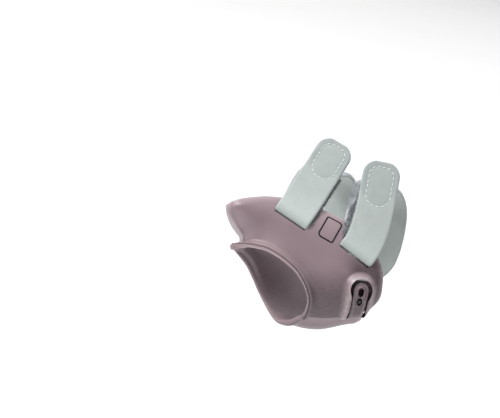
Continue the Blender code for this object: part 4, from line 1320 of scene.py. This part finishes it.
def make_hooks(name, grid, leg_long, hook):
    """Hook patch: a thin rounded plate under the leg's tip, and rows of bent hooks on it. Each
    hook is a tapered triangular stem along a quarter circle that curls over."""
    half = HOOK_WIDE/2
    straight = HOOK_LONG/2 - half
    middle = leg_long - HOOK_END_MARGIN - HOOK_LONG/2
    place, wide = long_round(straight, half, 0.02)
    place = middle + place
    shares = np.linspace(-1, 1, 17)
    places = np.repeat(place, len(shares))
    asides = (wide[:, None]*shares[None]).ravel()
    point, normal, _, _ = surface_frame(grid, 1, places, asides)
    shape = (len(place), len(shares), 3)
    edge = np.minimum((1 - np.abs(shares))[None]*wide[:, None], 1.0)
    low = point.reshape(shape) + PIECE_GAP*normal.reshape(shape)
    rise = HOOK_BASE*np.maximum(round_edge(edge, 0.0005), 0.1)
    high = low + rise[..., None]*normal.reshape(shape)
    plate, plate_faces = slab(high, low)
    plate_faces = outward(plate, plate_faces)

    rng = np.random.default_rng(5)
    along_at = np.arange(middle - HOOK_LONG/2 + 0.0008, middle + HOOK_LONG/2 - 0.0007, HOOK_PITCH)
    aside_at = np.arange(-half + 0.0007, half - 0.0006, HOOK_PITCH)
    p, a = (v.ravel() for v in np.meshgrid(along_at, aside_at, indexing="ij"))
    past = np.maximum(np.abs(p - middle) - straight, 0)
    inside = np.hypot(past, a) < half - 0.0006
    p, a = p[inside], a[inside]
    foot, up, along, across = surface_frame(grid, 1, p, a)
    foot = foot + (PIECE_GAP + HOOK_BASE*0.9)*up
    bend = np.linspace(0, 1, 5)
    flip = np.where(rng.random(len(p)) < 0.5, 1.0, -1.0)[:, None]
    way = unit(along*flip + 0.3*across*(rng.random(len(p))*2 - 1)[:, None])
    rise = HOOK_TALL*np.sin(bend*math.pi*0.62)
    over = HOOK_OVER*(1 - np.cos(bend*math.pi*0.62))
    centre = foot[:, None] + rise[None, :, None]*up[:, None] + over[None, :, None]*way[:, None]
    spin = np.radians([90, 210, 330])
    side = np.cross(up, way)
    spoke = np.cos(spin)[None, :, None]*side[:, None] + np.sin(spin)[None, :, None]*way[:, None]
    thick = HOOK_STEM*(1 - 0.45*bend)
    rings = centre[:, :, None] + thick[None, :, None, None]*spoke[:, None]
    count = 15
    stems = rings.reshape(-1, 3)
    base = (np.arange(len(p))*count)[:, None, None]
    quads = (ring_faces(5, 3)[None] + base).reshape(-1, 4)
    tips = (np.array([[2, 1, 0], [12, 13, 14]])[None] + base).reshape(-1, 3)
    stem_faces = outward(stems, [quads, tips])
    points = np.concatenate([plate, stems])
    faces = plate_faces + [f + len(plate) for f in stem_faces]
    return make_object(name, points, faces, [hook])


# Peg

def make_peg(peg):
    """Turned stud: a foot disc, a fillet, a stem and a domed head, spun about the normal of the
    tongue where it stands."""
    foot = press(mound_line(PEG_PLACE), TONGUE_LINING_GAP + TONGUE_WALL + PIECE_GAP)[0]
    out = guide_normal(foot)
    side = unit(np.cross(out, np.array([1.0, 0, 0])))
    other = np.cross(out, side)
    top = OVER_LINING_GAP + TAB_RISE + SHELL_WALL - TONGUE_LINING_GAP - TONGUE_WALL + 0.0003
    edge, fillet, dome, pole = 0.0002, 0.0004, 0.0006, 0.00002
    arc = [(math.sin(t), math.cos(t)) for t in np.linspace(0, math.pi/2, 5)]
    foot_top, foot_side = PEG_FOOT_THICK - edge, PEG_FOOT_RADIUS - edge
    profile = [(0.0, pole), (0.0, foot_side)]
    profile += [(edge*(1 - c), foot_side + edge*s) for s, c in arc[1:]]
    profile += [(foot_top + edge*s, foot_side + edge*c) for s, c in arc]
    profile += [(PEG_FOOT_THICK + fillet*(1 - c), PEG_RADIUS + fillet*(1 - s)) for s, c in arc]
    profile += [(top - dome + dome*s, PEG_RADIUS*(0.35 + 0.65*c)) for s, c in arc]
    profile.append((top + pole, pole))
    around = np.linspace(0, 2*math.pi, 40, endpoint=False)[:, None]
    spoke = np.cos(around)*side + np.sin(around)*other
    points = np.concatenate([foot + height*out + radius*spoke for height, radius in profile])
    last = (len(profile) - 1)*40
    caps = np.array([np.arange(40)[::-1], last + np.arange(40)])
    faces = outward(points, [ring_faces(len(profile), 40), caps])
    return make_object("closure_peg_turned", points, faces, [peg])


# Surroundings

def aimed(back, roll=0.0):
    """Axes, as columns, of a thing that looks against the direction back, rolled about it."""
    right = unit(np.cross([0.0, 0.0, 1.0], back))
    up = np.cross(back, right)
    return np.stack([
        math.cos(roll)*right + math.sin(roll)*up,
        math.cos(roll)*up - math.sin(roll)*right,
        back,
    ], 1)


def area_light(name, where, size, power):
    light = bpy.data.lights.new(name, "AREA")
    light.shape = "DISK"
    light.size = size
    light.energy = power
    thing = bpy.data.objects.new(name, light)
    thing.location = where
    axes = aimed(unit(np.array(where) - np.array(LAMPS_AIM)))
    thing.rotation_euler = Matrix(axes.tolist()).to_euler()
    bpy.context.scene.collection.objects.link(thing)


def make_camera():
    camera = bpy.data.cameras.new("camera")
    camera.sensor_width = 36.0
    camera.lens = CAMERA_LENS
    camera.clip_start = 0.01
    camera.clip_end = 40.0
    thing = bpy.data.objects.new("camera", camera)
    turned, raised, roll = (math.radians(angle) for angle in CAMERA_ANGLES)
    back = np.array([math.sin(turned), -math.cos(turned), math.tan(raised)])*math.cos(raised)
    pose = np.eye(4)
    pose[:3, :3] = aimed(back, roll)
    pose[:3, 3] = CAMERA_PLACE
    thing.matrix_world = Matrix(pose.tolist())
    bpy.context.scene.collection.objects.link(thing)
    bpy.context.scene.camera = thing


def make_surroundings():
    """Pale floor, soft lamps and the camera at the photograph's angle."""
    s = Shader("floor_pale")
    grain = s.noise(9.0, 2.0)
    paper = s.finish(s.mix(grain, linear(246, 246, 246), linear(250, 250, 250)), 0.9,
                     s.bump(grain, 0.02, 0.01))
    corners = np.array([(x, y, FLOOR_UP) for x, y in FLOOR_CORNERS], float)
    floor = make_object("floor", corners, [np.array([[0, 1, 2, 3]])], [paper], sharp=0)
    for lamp in LAMPS:
        area_light(*lamp)
    world = bpy.data.worlds.new("soft_room")
    world.use_nodes = True
    background = world.node_tree.nodes["Background"]
    background.inputs["Color"].default_value = (1.0, 1.0, 1.0, 1.0)
    background.inputs["Strength"].default_value = ROOM_LIGHT
    bpy.context.scene.world = world
    make_camera()
    bpy.context.scene.view_settings.view_transform = "Standard"


def keep(piece, slot, *nodes):
    """Attach a piece to the root body and hide the nodes it stands for; its slot is not used."""
    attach(piece, "root")
    if nodes:
        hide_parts(*nodes)


def main():
    make_surroundings()
    moulding, line = moulding_material(), line_dust_and_shade_material()
    hand_cloth = cloth_material("hand_strap_knit", linear(169, 176, 174), linear(160, 167, 165),
                                linear(147, 154, 155))
    wrist_cloth = cloth_material("wrist_strap_knit", linear(170, 177, 175), linear(161, 168, 166),
                                 linear(147, 154, 155))
    pile, thread, hook, peg = pile_material(), thread_material(), hook_material(), peg_shade_material()
    keep(make_shell(moulding, line), "moulding", "shell")
    keep(make_peg(peg), "peg", "closure_peg")
    straps = (
        ("hand", HAND_STRAP_ROUTE, HAND_SLOT, HAND_LEG_LONG, HAND_LEG_LEAN, hand_cloth, 1,
         lambda place: 0.0015 + 0*place),
        ("wrist", WRIST_STRAP_ROUTE, WRIST_SLOT, WRIST_LEG_LONG, WRIST_LEG_LEAN, wrist_cloth, -1,
         lambda place: 0.0008 + 0.0024*smooth_step(place/0.008)*smooth_step((0.024 - place)/0.008)),
    )
    for number, (name, route, place, leg_long, lean, cloth, side, fringe) in enumerate(straps):
        grid = strap_grid(route, place, leg_long, lean)
        keep(make_strap(name + "_strap_cloth", grid, leg_long, cloth, pile), "webbing", name + "_strap")
        spots = leg_stitches(grid, leg_long) + sewn_stitches(grid)
        keep(make_stitches(name + "_strap_stitches", spots, thread), "webbing")
        keep(make_pile(name + "_strap_pile", grid, leg_long, side, fringe, 11 + number, pile), "webbing")
        keep(make_hooks(name + "_tab_hooks", grid, leg_long, hook), "hook_patch", name + "_tab_hook")


main()
